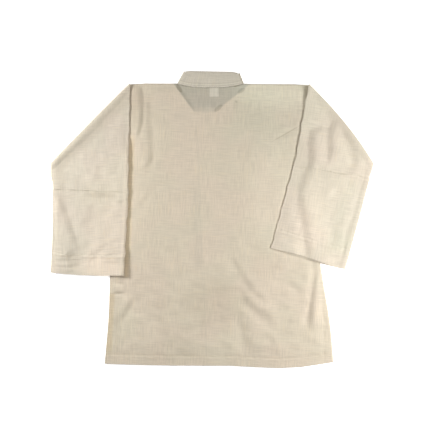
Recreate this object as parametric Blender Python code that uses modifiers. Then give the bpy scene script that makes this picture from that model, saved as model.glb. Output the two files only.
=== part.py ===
"""A kung fu jacket laid flat with its back up, both sleeves folded over onto the back.

Metres, +Z up. X runs to the right and Y towards the collar, from the middle of the laid jacket, and z = 0 is
the surface that it lies on. The layers are, from below, the fronts, the back, then each folded sleeve's back
wall and its front wall, which faces up.
"""

import math
from collections import namedtuple

import bmesh
import bpy
from mathutils import Vector

# Cloth and layers
WALL = 0.0010
SEAM_GAP = 0.0003
LAYER = WALL + SEAM_GAP
FRONT_Z = WALL / 2
BACK_Z = FRONT_Z + LAYER
ON_BACK_Z = BACK_Z + LAYER
BACK_LOFT = 0.0031
SLEEVE_LOFT = 0.0024

# How far in from each edge the back's loft takes to rise
SIDE_SETTLES = 0.045
HEM_SETTLES = 0.040
SHOULDER_SETTLES = 0.050
BESIDE_SLEEVE = 0.028
BESIDE_SLEEVE_SETTLES = 0.040

# Shoulder, neckline and opening
NECK_LEFT_X = -0.0894
NECK_RIGHT_X = 0.0815
BOUNDARY_LEFT_X = -0.1762
BOUNDARY_RIGHT_X = 0.2157
SHOULDER_LEFT_Y = 0.3577
SHOULDER_RIGHT_Y = 0.3551
BACK_NECK_DIP = 0.0095
FRONT_NECK_DEPTH = 0.0768
FRONT_NECK_POWER = 2.1
OPENING_TOP_X = -0.0140
OPENING_HEM_X = 0.0175
OPENING_TOP_Y = 0.3564
HEM_Y = -0.3842
UNDERLAP = 0.030

# Side panels of the body grid, where the neck columns cross the armpit line and the hem
ARMPIT_NECK_X = (-0.095, 0.095)
HEM_NECK_X = (-0.100, 0.115)

# Folds of the sleeves
FOLD_ROLL = 0.0020
FOLD_INSET = FOLD_ROLL + LAYER + WALL / 2
FOLD_SETTLES = 0.032
LIFT_REACH = 0.040
SLEEVE_EDGE_SETTLES = 0.030
DROP_START = 0.014
DROP_END = 0.044
EDGE_ROLL = 0.0010
CUFF_BOW = (0.0035, 0.0)

# Collar
COLLAR_WALL = 0.0016
COLLAR_ROLL = 0.0016
COLLAR_TOP_LEFT = (-0.0721, 0.3890)
COLLAR_TOP_RIGHT = (0.0710, 0.3845)
COLLAR_FRONT_HEIGHT = 0.040
COLLAR_FRONT_Z = COLLAR_WALL / 2
COLLAR_BACK_Z = COLLAR_FRONT_Z + 2 * COLLAR_ROLL
COLLAR_OPENING = 0.004
NECK_SETTLES = 0.045

# Label and fasteners
LABEL_SIZE = (0.024, 0.024)
LABEL_WALL = 0.0010
LABEL_AT = (0.0055, 0.3345)
LABEL_DROP = 0.0006
FROG_COUNT = 7
FROG_FIRST_Y = 0.245
FROG_SPACING = 0.083
FROG_HALF_LENGTH = 0.036
FROG_HALF_WIDTH = 0.0030
FROG_KNOT_RADIUS = 0.0052
FROG_WALL = 0.0012
FROG_RAISE = FROG_WALL + SEAM_GAP
FROG_BAND = 0.050
FROG_BAND_FADE = 0.022
FROG_FADE_TOP = (0.262, 0.280)
FROG_FADE_HEM = (-0.375, -0.285)

# Grid
ROWS_SLEEVE = 14
ROWS_BODY = 22
COLUMNS_ROOT = 4
COLUMNS_UPPER = 8
COLUMNS_TUBE = 9
FOLD_STEPS = 6
EDGE_STEPS = 3
COLLAR_STEPS = 4
FROG_END_STEPS = 4
FROG_KNOT_STEPS = 6
COLLAR_ROWS = 3
COLUMNS_SIDE_LEFT = 9
COLUMNS_NECK_LEFT = 4
COLUMNS_UNDERLAP = 1
COLUMNS_NECK_RIGHT = 5
COLUMNS_SIDE_RIGHT = 11
COLUMN_UNDERLAP = COLUMNS_SIDE_LEFT + COLUMNS_NECK_LEFT
COLUMN_OPENING = COLUMN_UNDERLAP + COLUMNS_UNDERLAP
COLUMN_NECK_RIGHT = COLUMN_OPENING + COLUMNS_NECK_RIGHT
UNDERARM_STEPS = 8
NECK_TRIES = 30

# Sections of each folded sleeve, from its fold to its cuff. The inner edge is the old shoulder line.
SleeveSection = namedtuple("SleeveSection", "inner_x inner_y outer_x outer_y lift")
SLEEVE_LEFT = (
    SleeveSection(-0.2172, 0.3577, -0.4247, 0.1486, 0.000),
    SleeveSection(-0.2180, 0.2145, -0.4230, 0.1136, 0.003),
    SleeveSection(-0.2201, 0.0710, -0.4174, 0.0786, 0.007),
    SleeveSection(-0.2265, -0.0380, -0.4182, -0.0304, 0.008),
    SleeveSection(-0.2320, -0.1468, -0.4226, -0.1394, 0.007),
)
SLEEVE_RIGHT = (
    SleeveSection(0.2556, 0.3551, 0.4261, 0.1460, 0.002),
    SleeveSection(0.2351, 0.2479, 0.4195, 0.1275, 0.002),
    SleeveSection(0.2146, 0.1407, 0.4137, 0.1091, 0.002),
    SleeveSection(0.1856, 0.0329, 0.3820, -0.0100, 0.002),
    SleeveSection(0.1565, -0.0750, 0.3485, -0.1302, 0.002),
)
JOIN_SECTION = 2
CUFF_SECTION = 4

# Edges of the body below the armpits
BodySection = namedtuple("BodySection", "left_x left_y right_x right_y")
BODY = (
    BodySection(-0.2656, 0.0381, 0.2683, 0.0355),
    BodySection(-0.2683, -0.1486, 0.2851, -0.1170),
    BodySection(-0.2717, -0.2591, 0.3093, -0.2696),
    BodySection(-0.2819, -0.3787, 0.3190, -0.3748),
)

# How far the hem hangs below a straight line between its corners
HemSag = namedtuple("HemSag", "share drop")
HEM = (
    HemSag(0.00, 0.0000),
    HemSag(0.11, 0.0031),
    HemSag(0.30, 0.0062),
    HemSag(0.55, 0.0076),
    HemSag(0.66, 0.0118),
    HemSag(0.76, 0.0148),
    HemSag(0.86, 0.0121),
    HemSag(0.95, 0.0045),
    HemSag(1.00, 0.0000),
)

Side = namedtuple("Side", "name sign sleeve fold_bow underarm_corner cuff_bow")
LEFT = Side("left", -1, SLEEVE_LEFT, 0.001, (-0.2680, 0.1360), CUFF_BOW[0])
RIGHT = Side("right", 1, SLEEVE_RIGHT, 0.009, (0.2700, 0.1335), CUFF_BOW[1])

# Largest folds: soft troughs in the lofted cloth, from one end to the other
Crease = namedtuple("Crease", "x0 y0 x1 y1 width depth")
BACK_CREASES = (
    Crease(-0.165, 0.298, -0.158, 0.128, 0.016, 0.75),
    Crease(0.057, 0.054, 0.128, -0.051, 0.015, 0.65),
    Crease(0.058, -0.104, 0.155, -0.213, 0.015, 0.70),
    Crease(0.079, -0.201, 0.189, -0.267, 0.015, 0.95),
    Crease(0.195, -0.167, 0.247, -0.204, 0.014, 0.60),
    Crease(0.273, -0.135, 0.258, -0.267, 0.016, 0.95),
    Crease(-0.202, -0.212, -0.238, -0.262, 0.015, 0.60),
)
SLEEVE_CREASES = (
    Crease(-0.391, 0.054, -0.352, -0.062, 0.013, 0.80),
    Crease(-0.243, 0.302, -0.404, 0.154, 0.014, 0.90),
    Crease(0.268, 0.220, 0.237, 0.064, 0.013, 0.80),
    Crease(0.237, 0.064, 0.258, -0.067, 0.013, 0.80),
    Crease(0.324, 0.254, 0.317, 0.175, 0.013, 0.80),
    Crease(0.352, 0.223, 0.376, 0.184, 0.013, 0.80),
    Crease(0.397, 0.080, 0.342, -0.120, 0.011, 0.80),
)

CREASE_END_DEPTH = 0.45

# Colours of the cloth, linear
CREAM = (0.66, 0.58, 0.45, 1.0)
PALE_CREAM = (0.72, 0.65, 0.53, 1.0)
COLLAR_CREAM = (0.56, 0.52, 0.43, 1.0)


def smooth(t):
    t = min(1.0, max(0.0, t))
    return t * t * (3.0 - 2.0 * t)


def mix(a, b, t):
    return a + (b - a) * t


def mix2(a, b, t):
    return Vector((mix(a[0], b[0], t), mix(a[1], b[1], t)))


def through(rows, f):
    """The values of a table at a fractional row."""
    i = min(int(f), len(rows) - 2)
    return type(rows[0])(*(mix(a, b, f - i) for a, b in zip(rows[i], rows[i + 1])))


def hem_drop(share):
    """The hem's sag at a share of its width."""
    for a, b in zip(HEM, HEM[1:]):
        if share <= b.share:
            return mix(a.drop, b.drop, (share - a.share) / (b.share - a.share))
    return 0.0


def to_segment(p, a, b):
    """Distance from a point to a segment, and how far along the segment that is."""
    along = b - a
    t = min(1.0, max(0.0, (p - a).dot(along) / along.length_squared))
    return (p - a - along * t).length, t


def to_path(p, path):
    return min(to_segment(p, a, b)[0] for a, b in zip(path, path[1:]))


def troughs(p, creases):
    """How much of the loft is left at a point between the creases."""
    left = 1.0
    for crease in creases:
        away, t = to_segment(p, Vector((crease.x0, crease.y0)), Vector((crease.x1, crease.y1)))
        ends = mix(CREASE_END_DEPTH, 1.0, math.sin(math.pi * t))
        left *= 1.0 - crease.depth * ends * math.exp(-((away / crease.width) ** 2))
    return left


# Outlines

def fold_normal(side):
    first = side.sleeve[0]
    along = Vector((first.outer_x - first.inner_x, first.outer_y - first.inner_y)).normalized()
    return Vector((-along.y, along.x)) * side.sign


def fold_shift(side, g):
    """How far the middle of the rolled fold lies outside the straight line between its ends."""
    return side.fold_bow * 4.0 * g * (1.0 - g) - FOLD_INSET


def sleeve_point(side, f, g):
    """A place on the folded sleeve, f sections from its fold and g of the way to its outer edge."""
    section = through(side.sleeve, f)
    p = mix2((section.inner_x, section.inner_y), (section.outer_x, section.outer_y), g)
    p += fold_normal(side) * fold_shift(side, g) * max(0.0, 1.0 - f)
    past_join = max(0.0, (f - JOIN_SECTION) / (CUFF_SECTION - JOIN_SECTION))
    p.y -= side.cuff_bow * 4.0 * g * (1.0 - g) * past_join
    return p


def armpit(side):
    first = BODY[0]
    if side.sign < 0:
        return Vector((first.left_x, first.left_y))
    return Vector((first.right_x, first.right_y))


def underarm(side, t):
    """The curved seam from the fold's outer end to the armpit."""
    start = sleeve_point(side, 0, 1)
    corner = Vector(side.underarm_corner)
    return start * (1 - t) ** 2 + corner * 2 * t * (1 - t) + armpit(side) * t * t


def shoulder_y(x):
    start, end = SLEEVE_LEFT[0].inner_x, SLEEVE_RIGHT[0].inner_x
    return mix(SHOULDER_LEFT_Y, SHOULDER_RIGHT_Y, (x - start) / (end - start))


def opening_x(y):
    """The front edge of the left front, on a line a little askew to the shoulder."""
    return mix(OPENING_TOP_X, OPENING_HEM_X, (OPENING_TOP_Y - y) / (OPENING_TOP_Y - HEM_Y))


def neck_share(x):
    """0 at the opening and 1 at the neck point on either side."""
    end = NECK_LEFT_X if x < OPENING_TOP_X else NECK_RIGHT_X
    return (x - OPENING_TOP_X) / (end - OPENING_TOP_X)


def back_neck_y(x):
    share = min(1.0, abs(neck_share(x)))
    return shoulder_y(x) - BACK_NECK_DIP * (1.0 - share ** 3)


def front_neck_y(x):
    share = min(1.0, abs(neck_share(x)))
    return shoulder_y(x) - FRONT_NECK_DEPTH * (1.0 - share ** FRONT_NECK_POWER)


def spread(keys, counts):
    """Values between the keys, in as many steps as the counts give."""
    values = [keys[0]]
    for start, end, count in zip(keys, keys[1:], counts):
        values += [mix(start, end, (n + 1) / count) for n in range(count)]
    return values


def column_values(left, right, opening, necks):
    keys = (left, necks[0], opening - UNDERLAP, opening, necks[1], right)
    counts = (
        COLUMNS_SIDE_LEFT,
        COLUMNS_NECK_LEFT,
        COLUMNS_UNDERLAP,
        COLUMNS_NECK_RIGHT,
        COLUMNS_SIDE_RIGHT,
    )
    return spread(keys, counts)


def line_across(section, opening, necks, sag):
    """A point for each body column on the line between the section's two edges."""
    points = []
    for x in column_values(section.left_x, section.right_x, opening, necks):
        share = (x - section.left_x) / (section.right_x - section.left_x)
        y = mix(section.left_y, section.right_y, share) - sag * hem_drop(share)
        points.append(Vector((x, y)))
    return points


def shoulder_points():
    necks = (NECK_LEFT_X, NECK_RIGHT_X)
    xs = column_values(BOUNDARY_LEFT_X, BOUNDARY_RIGHT_X, OPENING_TOP_X, necks)
    return [Vector((x, shoulder_y(x))) for x in xs]


def cut_neck(top, bottom, neck_y):
    """The point where a column meets the neckline."""
    t = 0.0
    for _ in range(NECK_TRIES):
        p = mix2(top, bottom, t)
        t += (p.y - neck_y(p.x)) / (top.y - bottom.y)
    return mix2(top, bottom, t)


def top_points(neck_y):
    """The top edge of a panel: shoulder, neckline, shoulder."""
    points = shoulder_points()
    bottoms = line_across(BODY[0], opening_x(armpit(LEFT).y), ARMPIT_NECK_X, 0.0)
    for column in range(COLUMNS_SIDE_LEFT + 1, COLUMN_NECK_RIGHT):
        points[column] = cut_neck(points[column], bottoms[column], neck_y)
    return points


def body_edge(side):
    """The panel's edge from the fold's outer end round the armpit to the hem."""
    edge = [underarm(side, t / UNDERARM_STEPS) for t in range(UNDERARM_STEPS + 1)]
    for section in BODY[1:]:
        if side.sign < 0:
            edge.append(Vector((section.left_x, section.left_y)))
        else:
            edge.append(Vector((section.right_x, section.right_y)))
    return edge


def sleeve_outline(side):
    inner = [Vector((s.inner_x, s.inner_y)) for s in side.sleeve]
    outer = [Vector((s.outer_x, s.outer_y)) for s in reversed(side.sleeve)]
    return inner + outer + inner[:1]


EDGES = {side.name: body_edge(side) for side in (LEFT, RIGHT)}
SLEEVE_OUTLINES = {side.name: sleeve_outline(side) for side in (LEFT, RIGHT)}


def edge_x(side, y):
    """Where the panel's edge crosses a height."""
    edge = EDGES[side.name]
    for a, b in zip(edge, edge[1:]):
        if b.y <= y <= a.y:
            return mix(a.x, b.x, (a.y - y) / (a.y - b.y))
    return edge[0].x if y > edge[0].y else edge[-1].x


def outside_body(side, p):
    """How far a point lies outside the two body panels."""
    if p.y > EDGES[side.name][0].y or side.sign * (p.x - edge_x(side, p.y)) <= 0:
        return 0.0
    return to_path(p, EDGES[side.name])


def off_sleeve(side, p):
    """How far a point lies outside a folded sleeve."""
    outline = SLEEVE_OUTLINES[side.name]
    inside = False
    for a, b in zip(outline, outline[1:]):
        if (a.y > p.y) != (b.y > p.y) and p.x < mix(a.x, b.x, (p.y - a.y) / (b.y - a.y)):
            inside = not inside
    return 0.0 if inside else to_path(p, outline)


# Heights of the middle of each wall

def frog_raise(p):
    """The fronts ride over the flat fasteners down the opening."""
    aside = abs(p.x - opening_x(p.y))
    band = smooth(1.0 - (aside - FROG_BAND) / FROG_BAND_FADE)
    top = 1.0 - smooth((p.y - FROG_FADE_TOP[0]) / (FROG_FADE_TOP[1] - FROG_FADE_TOP[0]))
    hem = smooth((p.y - FROG_FADE_HEM[0]) / (FROG_FADE_HEM[1] - FROG_FADE_HEM[0]))
    return FROG_RAISE * band * top * hem


def overlap_raise(p):
    """The right front rides over the left one at the opening."""
    past = p.x - opening_x(p.y)
    if past > 0:
        return LAYER * smooth(1.0 - past / FROG_BAND_FADE)
    return LAYER * smooth(1.0 - (-past - UNDERLAP) / FROG_BAND_FADE)


def front_height(p, over):
    return FRONT_Z + frog_raise(p) + (overlap_raise(p) if over else 0.0)


def neck_raise(p):
    """The back stands off over the thick collar at the neck."""
    aside = max(0.0, NECK_LEFT_X - p.x, p.x - NECK_RIGHT_X)
    below = max(0.0, shoulder_y(p.x) - FRONT_NECK_DEPTH - p.y)
    away = math.hypot(aside, below)
    return (COLLAR_BACK_Z - BACK_Z) * smooth(1.0 - away / NECK_SETTLES)


def back_loft(p):
    side_in = min(p.x - edge_x(LEFT, p.y), edge_x(RIGHT, p.y) - p.x)
    share = smooth(side_in / SIDE_SETTLES) * smooth((p.y - HEM_Y) / HEM_SETTLES)
    share *= smooth((shoulder_y(p.x) - p.y) / SHOULDER_SETTLES)
    for side in (LEFT, RIGHT):
        share *= smooth((off_sleeve(side, p) - BESIDE_SLEEVE) / BESIDE_SLEEVE_SETTLES)
    return BACK_LOFT * share * troughs(p, BACK_CREASES)


def back_height(p):
    over = frog_raise(p) + overlap_raise(p)
    return BACK_Z + max(back_loft(p), neck_raise(p), over)


def sleeve_height(side, f, g, on_top):
    """The folded sleeve lies on the back and drops to the table outside it."""
    p = sleeve_point(side, f, g)
    drop = smooth((outside_body(side, p) - DROP_START) / (DROP_END - DROP_START))
    height = mix(ON_BACK_Z, FRONT_Z, drop)
    first = side.sleeve[0]
    start = Vector((first.inner_x, first.inner_y)) - fold_normal(side) * FOLD_INSET
    from_fold = max(0.0, -(p - start).dot(fold_normal(side)))
    settled = smooth(from_fold / FOLD_SETTLES)
    height += (BACK_Z + 2 * FOLD_ROLL - ON_BACK_Z) * (1.0 - settled)
    section = through(side.sleeve, f)
    width = math.hypot(section.outer_x - section.inner_x, section.outer_y - section.inner_y)
    height += section.lift * (1.0 - smooth(g * width / LIFT_REACH))
    if on_top:
        share = smooth(g * width / SLEEVE_EDGE_SETTLES) * settled
        share *= smooth((1.0 - g) * width / SLEEVE_EDGE_SETTLES)
        height += LAYER + SLEEVE_LOFT * share * troughs(p, SLEEVE_CREASES)
    return height


# Strips of points across the jacket, one for each piece of a row

def at(p, z):
    return Vector((p.x, p.y, z))


def upper_sleeve_row(side, g, on_top):
    """From the join to the fold, stopping short of the join by half a seam gap."""
    row = []
    for n in range(COLUMNS_UPPER, -1, -1):
        f = JOIN_SECTION * n / COLUMNS_UPPER
        p = sleeve_point(side, f, g)
        if n == COLUMNS_UPPER:
            back_step = sleeve_point(side, f - 0.1, g) - p
            p += back_step.normalized() * SEAM_GAP / 2
        row.append(at(p, sleeve_height(side, f, g, on_top)))
    return row


def fold_row(side, g, on_top):
    """Half a turn round the fold, from the flipped wall down to the wall below."""
    p = sleeve_point(side, 0, g)
    low = FRONT_Z if on_top else BACK_Z
    high = sleeve_height(side, 0, g, on_top)
    radius = (high - low) / 2
    row = []
    for n in range(1, FOLD_STEPS):
        turn = math.pi * n / FOLD_STEPS
        q = p + fold_normal(side) * radius * math.sin(turn)
        row.append(at(q, (high + low) / 2 + radius * math.cos(turn)))
    return row


def root_row(side, g, boundary, height):
    """The part of a body panel that runs out under the folded sleeve."""
    fold = sleeve_point(side, 0, g)
    fold_end = sleeve_point(side, 0, 1)
    row = []
    for n in range(COLUMNS_ROOT):
        t = n / COLUMNS_ROOT
        bend = underarm(side, t) - mix2(fold_end, armpit(side), t)
        p = mix2(fold, boundary, t) + bend * g * g
        row.append(at(p, height(p)))
    return row


def body_row(tops, bottoms, t, height):
    return [at(mix2(a, b, t), height(mix2(a, b, t))) for a, b in zip(tops, bottoms)]


def lower_lines():
    """A line of points across the body for each row below the armpits."""
    last = len(BODY) - 1
    lines = []
    for n in range(ROWS_BODY + 1):
        t = n / ROWS_BODY
        section = through(BODY, t * last)
        opening = opening_x(mix(section.left_y, section.right_y, 0.5))
        necks = (mix(ARMPIT_NECK_X[0], HEM_NECK_X[0], t), mix(ARMPIT_NECK_X[1], HEM_NECK_X[1], t))
        lines.append(line_across(section, opening, necks, t * t))
    return lines


def panel_rows(neck_y, height, on_top, row_step):
    """A whole panel: sleeve, fold, root, body, root, fold, sleeve, and then the body below."""
    tops = top_points(neck_y)
    lines = lower_lines()
    rows = []
    for n in range(ROWS_SLEEVE + 1):
        g = n / ROWS_SLEEVE
        body = body_row(tops, lines[0], g, height)
        left = upper_sleeve_row(LEFT, g, on_top) + fold_row(LEFT, g, on_top)
        left += root_row(LEFT, g, Vector(body[0][:2]), height)
        right = upper_sleeve_row(RIGHT, g, on_top) + fold_row(RIGHT, g, on_top)
        right += root_row(RIGHT, g, Vector(body[-1][:2]), height)
        rows.append(left + body + right[::-1])
    blank = [None] * len(left)
    for line in lines[row_step::row_step]:
        rows.append(blank + [at(p, height(p)) for p in line] + blank)
    return rows


def first_body_column():
    return COLUMNS_UPPER + 1 + FOLD_STEPS - 1 + COLUMNS_ROOT


# Objects

def material(name, colour):
    made = bpy.data.materials.new(name)
    made.use_nodes = True
    shader = made.node_tree.nodes["Principled BSDF"]
    shader.inputs["Base Color"].default_value = colour
    shader.inputs["Roughness"].default_value = 0.9
    shader.inputs["Metallic"].default_value = 0.0
    return made


def add_object(name, data, colour):
    data.materials.append(material(name + "_cloth", colour))
    made = bpy.data.objects.new(name, data)
    bpy.data.collections["kung_fu_jacket"].objects.link(made)
    return made


def add_sheet(name, rows, wall, colour, ring=False):
    """An open grid of points, with gaps where a row has none, thickened to both sides."""
    bm = bmesh.new()
    grid = [[p and bm.verts.new(p) for p in row] for row in rows]
    for upper, lower in zip(grid, grid[1:]):
        count = len(upper)
        for n in range(count if ring else count - 1):
            m = (n + 1) % count
            corners = (upper[n], lower[n], lower[m], upper[m])
            if None not in corners:
                bm.faces.new(corners)
    mesh = bpy.data.meshes.new(name)
    bm.to_mesh(mesh)
    bm.free()
    mesh.shade_smooth()
    sheet = add_object(name, mesh, colour)
    thick = sheet.modifiers.new("wall", "SOLIDIFY")
    thick.thickness = wall
    thick.offset = 0.0
    return sheet


def add_back():
    add_sheet("back", panel_rows(back_neck_y, back_height, False, 1), WALL, CREAM)


def add_front(name, first, last, over):
    rows = panel_rows(front_neck_y, lambda p: front_height(p, over), True, 2)
    add_sheet(name, [row[first:last] for row in rows], WALL, CREAM)


def tube_ring(side, f):
    """Once round the flattened lower sleeve at one section."""
    low = []
    high = []
    for n in range(ROWS_SLEEVE + 1):
        g = n / ROWS_SLEEVE
        p = sleeve_point(side, f, g)
        if f == JOIN_SECTION:
            onward = sleeve_point(side, f + 0.1, g) - p
            p += onward.normalized() * SEAM_GAP / 2
        low.append(at(p, sleeve_height(side, f, g, False)))
        high.append(at(p, sleeve_height(side, f, g, True)))
    for end in (0, -1):
        high[end].z = low[end].z + 2 * EDGE_ROLL
    return low + edge_arc(low, high, -1) + high[::-1] + edge_arc(high, low, 0)


def edge_arc(start, end, index):
    """Half a turn round the sleeve's edge, from one wall to the other."""
    inward = start[1] if index == 0 else start[-2]
    outward = (start[index] - inward).to_2d().normalized().to_3d()
    middle = (start[index] + end[index]) / 2
    half = (start[index] - end[index]) / 2
    row = []
    for n in range(1, EDGE_STEPS):
        turn = math.pi * n / EDGE_STEPS
        row.append(middle + half * math.cos(turn) + outward * EDGE_ROLL * math.sin(turn))
    return row


def add_tube(side):
    span = CUFF_SECTION - JOIN_SECTION
    rings = [
        tube_ring(side, JOIN_SECTION + span * n / COLUMNS_TUBE) for n in range(COLUMNS_TUBE + 1)
    ]
    add_sheet("sleeve_" + side.name, rings, WALL, PALE_CREAM, ring=True)


def collar_pair(seam, free, z):
    """The band's points from its seam to its free edge at one place."""
    return [at(mix2(seam, free, n / COLLAR_ROWS), z) for n in range(COLLAR_ROWS + 1)]


def collar_back():
    """Across the back neck, from left to right."""
    tops = top_points(back_neck_y)[COLUMNS_SIDE_LEFT : COLUMN_NECK_RIGHT + 1]
    rows = []
    for seam in tops:
        t = (seam.x - tops[0].x) / (tops[-1].x - tops[0].x)
        free = mix2(COLLAR_TOP_LEFT, COLLAR_TOP_RIGHT, t)
        rows.append(collar_pair(seam + Vector((0, SEAM_GAP)), free, COLLAR_BACK_Z))
    return rows


def collar_front(sign):
    """Along one front neckline, from the neck point to the opening."""
    points = top_points(front_neck_y)
    if sign < 0:
        points = points[COLUMNS_SIDE_LEFT : COLUMN_OPENING + 1]
        corner = Vector(COLLAR_TOP_LEFT)
    else:
        points = points[COLUMN_OPENING : COLUMN_NECK_RIGHT + 1][::-1]
        corner = Vector(COLLAR_TOP_RIGHT)
    back_step = points[-2] - points[-1]
    points[-1] = points[-1] + back_step * (COLLAR_OPENING / 2 / abs(back_step.x))
    first, last = points[0], points[-1]
    end = last + Vector((0, COLLAR_FRONT_HEIGHT))
    rows = []
    for n, seam in enumerate(points):
        across = (seam.x - first.x) / (last.x - first.x)
        down = (seam.y - first.y) / (last.y - first.y)
        free = Vector((mix(corner.x, end.x, across), mix(corner.y, end.y, down)))
        along = points[min(n + 1, len(points) - 1)] - points[max(n - 1, 0)]
        clear = Vector((-along.y, along.x)).normalized() * -sign
        rows.append(collar_pair(seam + clear * 1.5 * SEAM_GAP, free, COLLAR_FRONT_Z))
    return rows


def collar_turn(front, back, sign):
    """Half a turn at the neck point, from the front band up to the back band."""
    rows = []
    along = (front[-1] - front[0]).normalized()
    outward = Vector((-along.y, along.x, 0)) * -sign
    for n in range(1, COLLAR_STEPS):
        turn = math.pi * n / COLLAR_STEPS
        rise = (1 - math.cos(turn)) / 2
        out = outward * COLLAR_ROLL * math.sin(turn)
        rows.append([a.lerp(b, rise) + out for a, b in zip(front, back)])
    return rows


def add_collar():
    left, back, right = collar_front(-1), collar_back(), collar_front(1)
    rows = left[::-1] + collar_turn(left[0], back[0], -1) + back
    rows += collar_turn(right[0], back[-1], 1)[::-1] + right
    add_sheet("collar", rows, COLLAR_WALL, COLLAR_CREAM)


def add_label():
    """The blank label hangs just under the back, so it is made from the back's points moved down."""
    under = WALL / 2 + LABEL_DROP + LABEL_WALL / 2
    rows = []
    for down in (0.5, 0.0, -0.5):
        row = []
        for across in (-0.5, 0.0, 0.5):
            p = Vector((LABEL_AT[0] + across * LABEL_SIZE[0], LABEL_AT[1] + down * LABEL_SIZE[1]))
            row.append(at(p, back_height(p) - under))
        rows.append(row)
    add_sheet("neck_label", rows, LABEL_WALL, PALE_CREAM)


def frog_outline():
    """Half the outline of a flat fastener, from one rounded end to the other: bar, knot, bar."""
    points = []
    centre = FROG_HALF_WIDTH - FROG_HALF_LENGTH
    for n in range(FROG_END_STEPS + 1):
        angle = math.pi * (0.5 + n / FROG_END_STEPS)
        points.append((centre + FROG_HALF_WIDTH * math.cos(angle), FROG_HALF_WIDTH * math.sin(angle)))
    start = math.asin(FROG_HALF_WIDTH / FROG_KNOT_RADIUS)
    for n in range(FROG_KNOT_STEPS + 1):
        angle = math.pi + start + (math.pi - 2 * start) * n / FROG_KNOT_STEPS
        points.append((FROG_KNOT_RADIUS * math.cos(angle), FROG_KNOT_RADIUS * math.sin(angle)))
    return points


def add_frog(number):
    """A flat outline as thick as the cord, lying on the table under the opening."""
    half = frog_outline()
    outline = half + [(-x, -y) for x, y in half]
    curve = bpy.data.curves.new(f"frog_{number}", "CURVE")
    curve.dimensions = "2D"
    curve.fill_mode = "BOTH"
    curve.extrude = FROG_WALL / 2
    spline = curve.splines.new("POLY")
    spline.points.add(len(outline) - 1)
    for point, (x, y) in zip(spline.points, outline):
        point.co = (x, y, 0.0, 1.0)
    spline.use_cyclic_u = True
    frog = add_object(f"frog_{number}", curve, CREAM)
    y = FROG_FIRST_Y - (number - 1) * FROG_SPACING
    frog.location = (opening_x(y), y, FROG_WALL / 2)
    frog.rotation_euler.z = math.atan2(OPENING_HEM_X - OPENING_TOP_X, OPENING_TOP_Y - HEM_Y)


def clear_scene():
    for old in list(bpy.data.objects):
        bpy.data.objects.remove(old)
    collection = bpy.data.collections.new("kung_fu_jacket")
    bpy.context.scene.collection.children.link(collection)


def main():
    clear_scene()
    body = first_body_column()
    add_back()
    add_front("front_left", 0, body + COLUMN_OPENING + 1, False)
    add_front("front_right", body + COLUMN_UNDERLAP, None, True)
    for side in (LEFT, RIGHT):
        add_tube(side)
    add_collar()
    add_label()
    for number in range(1, FROG_COUNT + 1):
        add_frog(number)


main()
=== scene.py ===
"""The looks of a kung fu jacket that lies flat with its back up, both sleeves folded over onto the back.

Metres, +Z up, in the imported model's frame: X runs to the right, Y towards the collar, and z = 0 is the
surface under the jacket. Every sheet is a grid of points on the middle of its cloth, thickened both ways.
"""

import math
from collections import namedtuple

import bpy
import numpy as np
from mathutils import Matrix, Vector


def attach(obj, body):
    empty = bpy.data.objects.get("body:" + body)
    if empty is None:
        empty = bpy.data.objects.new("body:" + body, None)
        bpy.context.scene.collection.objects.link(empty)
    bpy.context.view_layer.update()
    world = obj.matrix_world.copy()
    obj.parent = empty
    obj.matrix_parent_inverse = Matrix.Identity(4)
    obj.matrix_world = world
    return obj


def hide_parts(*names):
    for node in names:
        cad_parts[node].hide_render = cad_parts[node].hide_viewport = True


bl_info = {
    "name": "Kung fu jacket",
    "version": (1, 0, 0),
    "blender": (4, 5, 0),
    "location": "3D View > Sidebar > Jacket",
    "description": "Cloth, seams, stitches and cord fasteners of a jacket laid flat with folded sleeves",
    "category": "Object",
}

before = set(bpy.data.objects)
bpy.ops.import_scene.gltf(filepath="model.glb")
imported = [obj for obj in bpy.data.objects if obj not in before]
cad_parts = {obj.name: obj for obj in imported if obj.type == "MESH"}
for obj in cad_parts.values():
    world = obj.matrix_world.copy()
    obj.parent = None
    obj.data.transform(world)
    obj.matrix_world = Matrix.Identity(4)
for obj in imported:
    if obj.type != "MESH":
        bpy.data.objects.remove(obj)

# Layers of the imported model
CAD_WALL = 0.0010
SEAM_GAP = 0.0003
LAYER = CAD_WALL + SEAM_GAP
FRONT_Z = CAD_WALL / 2
BACK_Z = FRONT_Z + LAYER
ON_BACK_Z = BACK_Z + LAYER

# Shoulder, neckline and opening
NECK_LEFT_X = -0.0894
NECK_RIGHT_X = 0.0815
BOUNDARY_LEFT_X = -0.1762
BOUNDARY_RIGHT_X = 0.2157
SHOULDER_LEFT_Y = 0.3577
SHOULDER_RIGHT_Y = 0.3551
BACK_NECK_DIP = 0.0095
FRONT_NECK_DEPTH = 0.0768
FRONT_NECK_POWER = 2.1
OPENING_TOP_X = -0.0140
OPENING_HEM_X = 0.0175
OPENING_TOP_Y = 0.3564
HEM_Y = -0.3842
UNDERLAP = 0.030
ARMPIT_NECK_X = (-0.095, 0.095)
HEM_NECK_X = (-0.100, 0.115)

# How far the jacket is turned from straight, and that turn's cosine and sine
CLOTH_TILT = math.atan2(OPENING_HEM_X - OPENING_TOP_X, OPENING_TOP_Y - HEM_Y)
LEVEL, LEAN = math.cos(CLOTH_TILT), math.sin(CLOTH_TILT)

# The neck opening as it shows through the back: its low edge between two places, and its slopes past them
OPENING_LOW_Y = 0.2825
OPENING_LOW_X = (-0.047, 0.008)
OPENING_SLOPES = (1.38, 0.80)

# How the cloth settles towards its edges
SIDE_SETTLES = 0.040
HEM_SETTLES = 0.062
SHOULDER_SETTLES = 0.024
SEAM_SETTLES = 0.006
SLEEVE_EDGE_SETTLES = 0.030
MEETING = 0.0003

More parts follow.
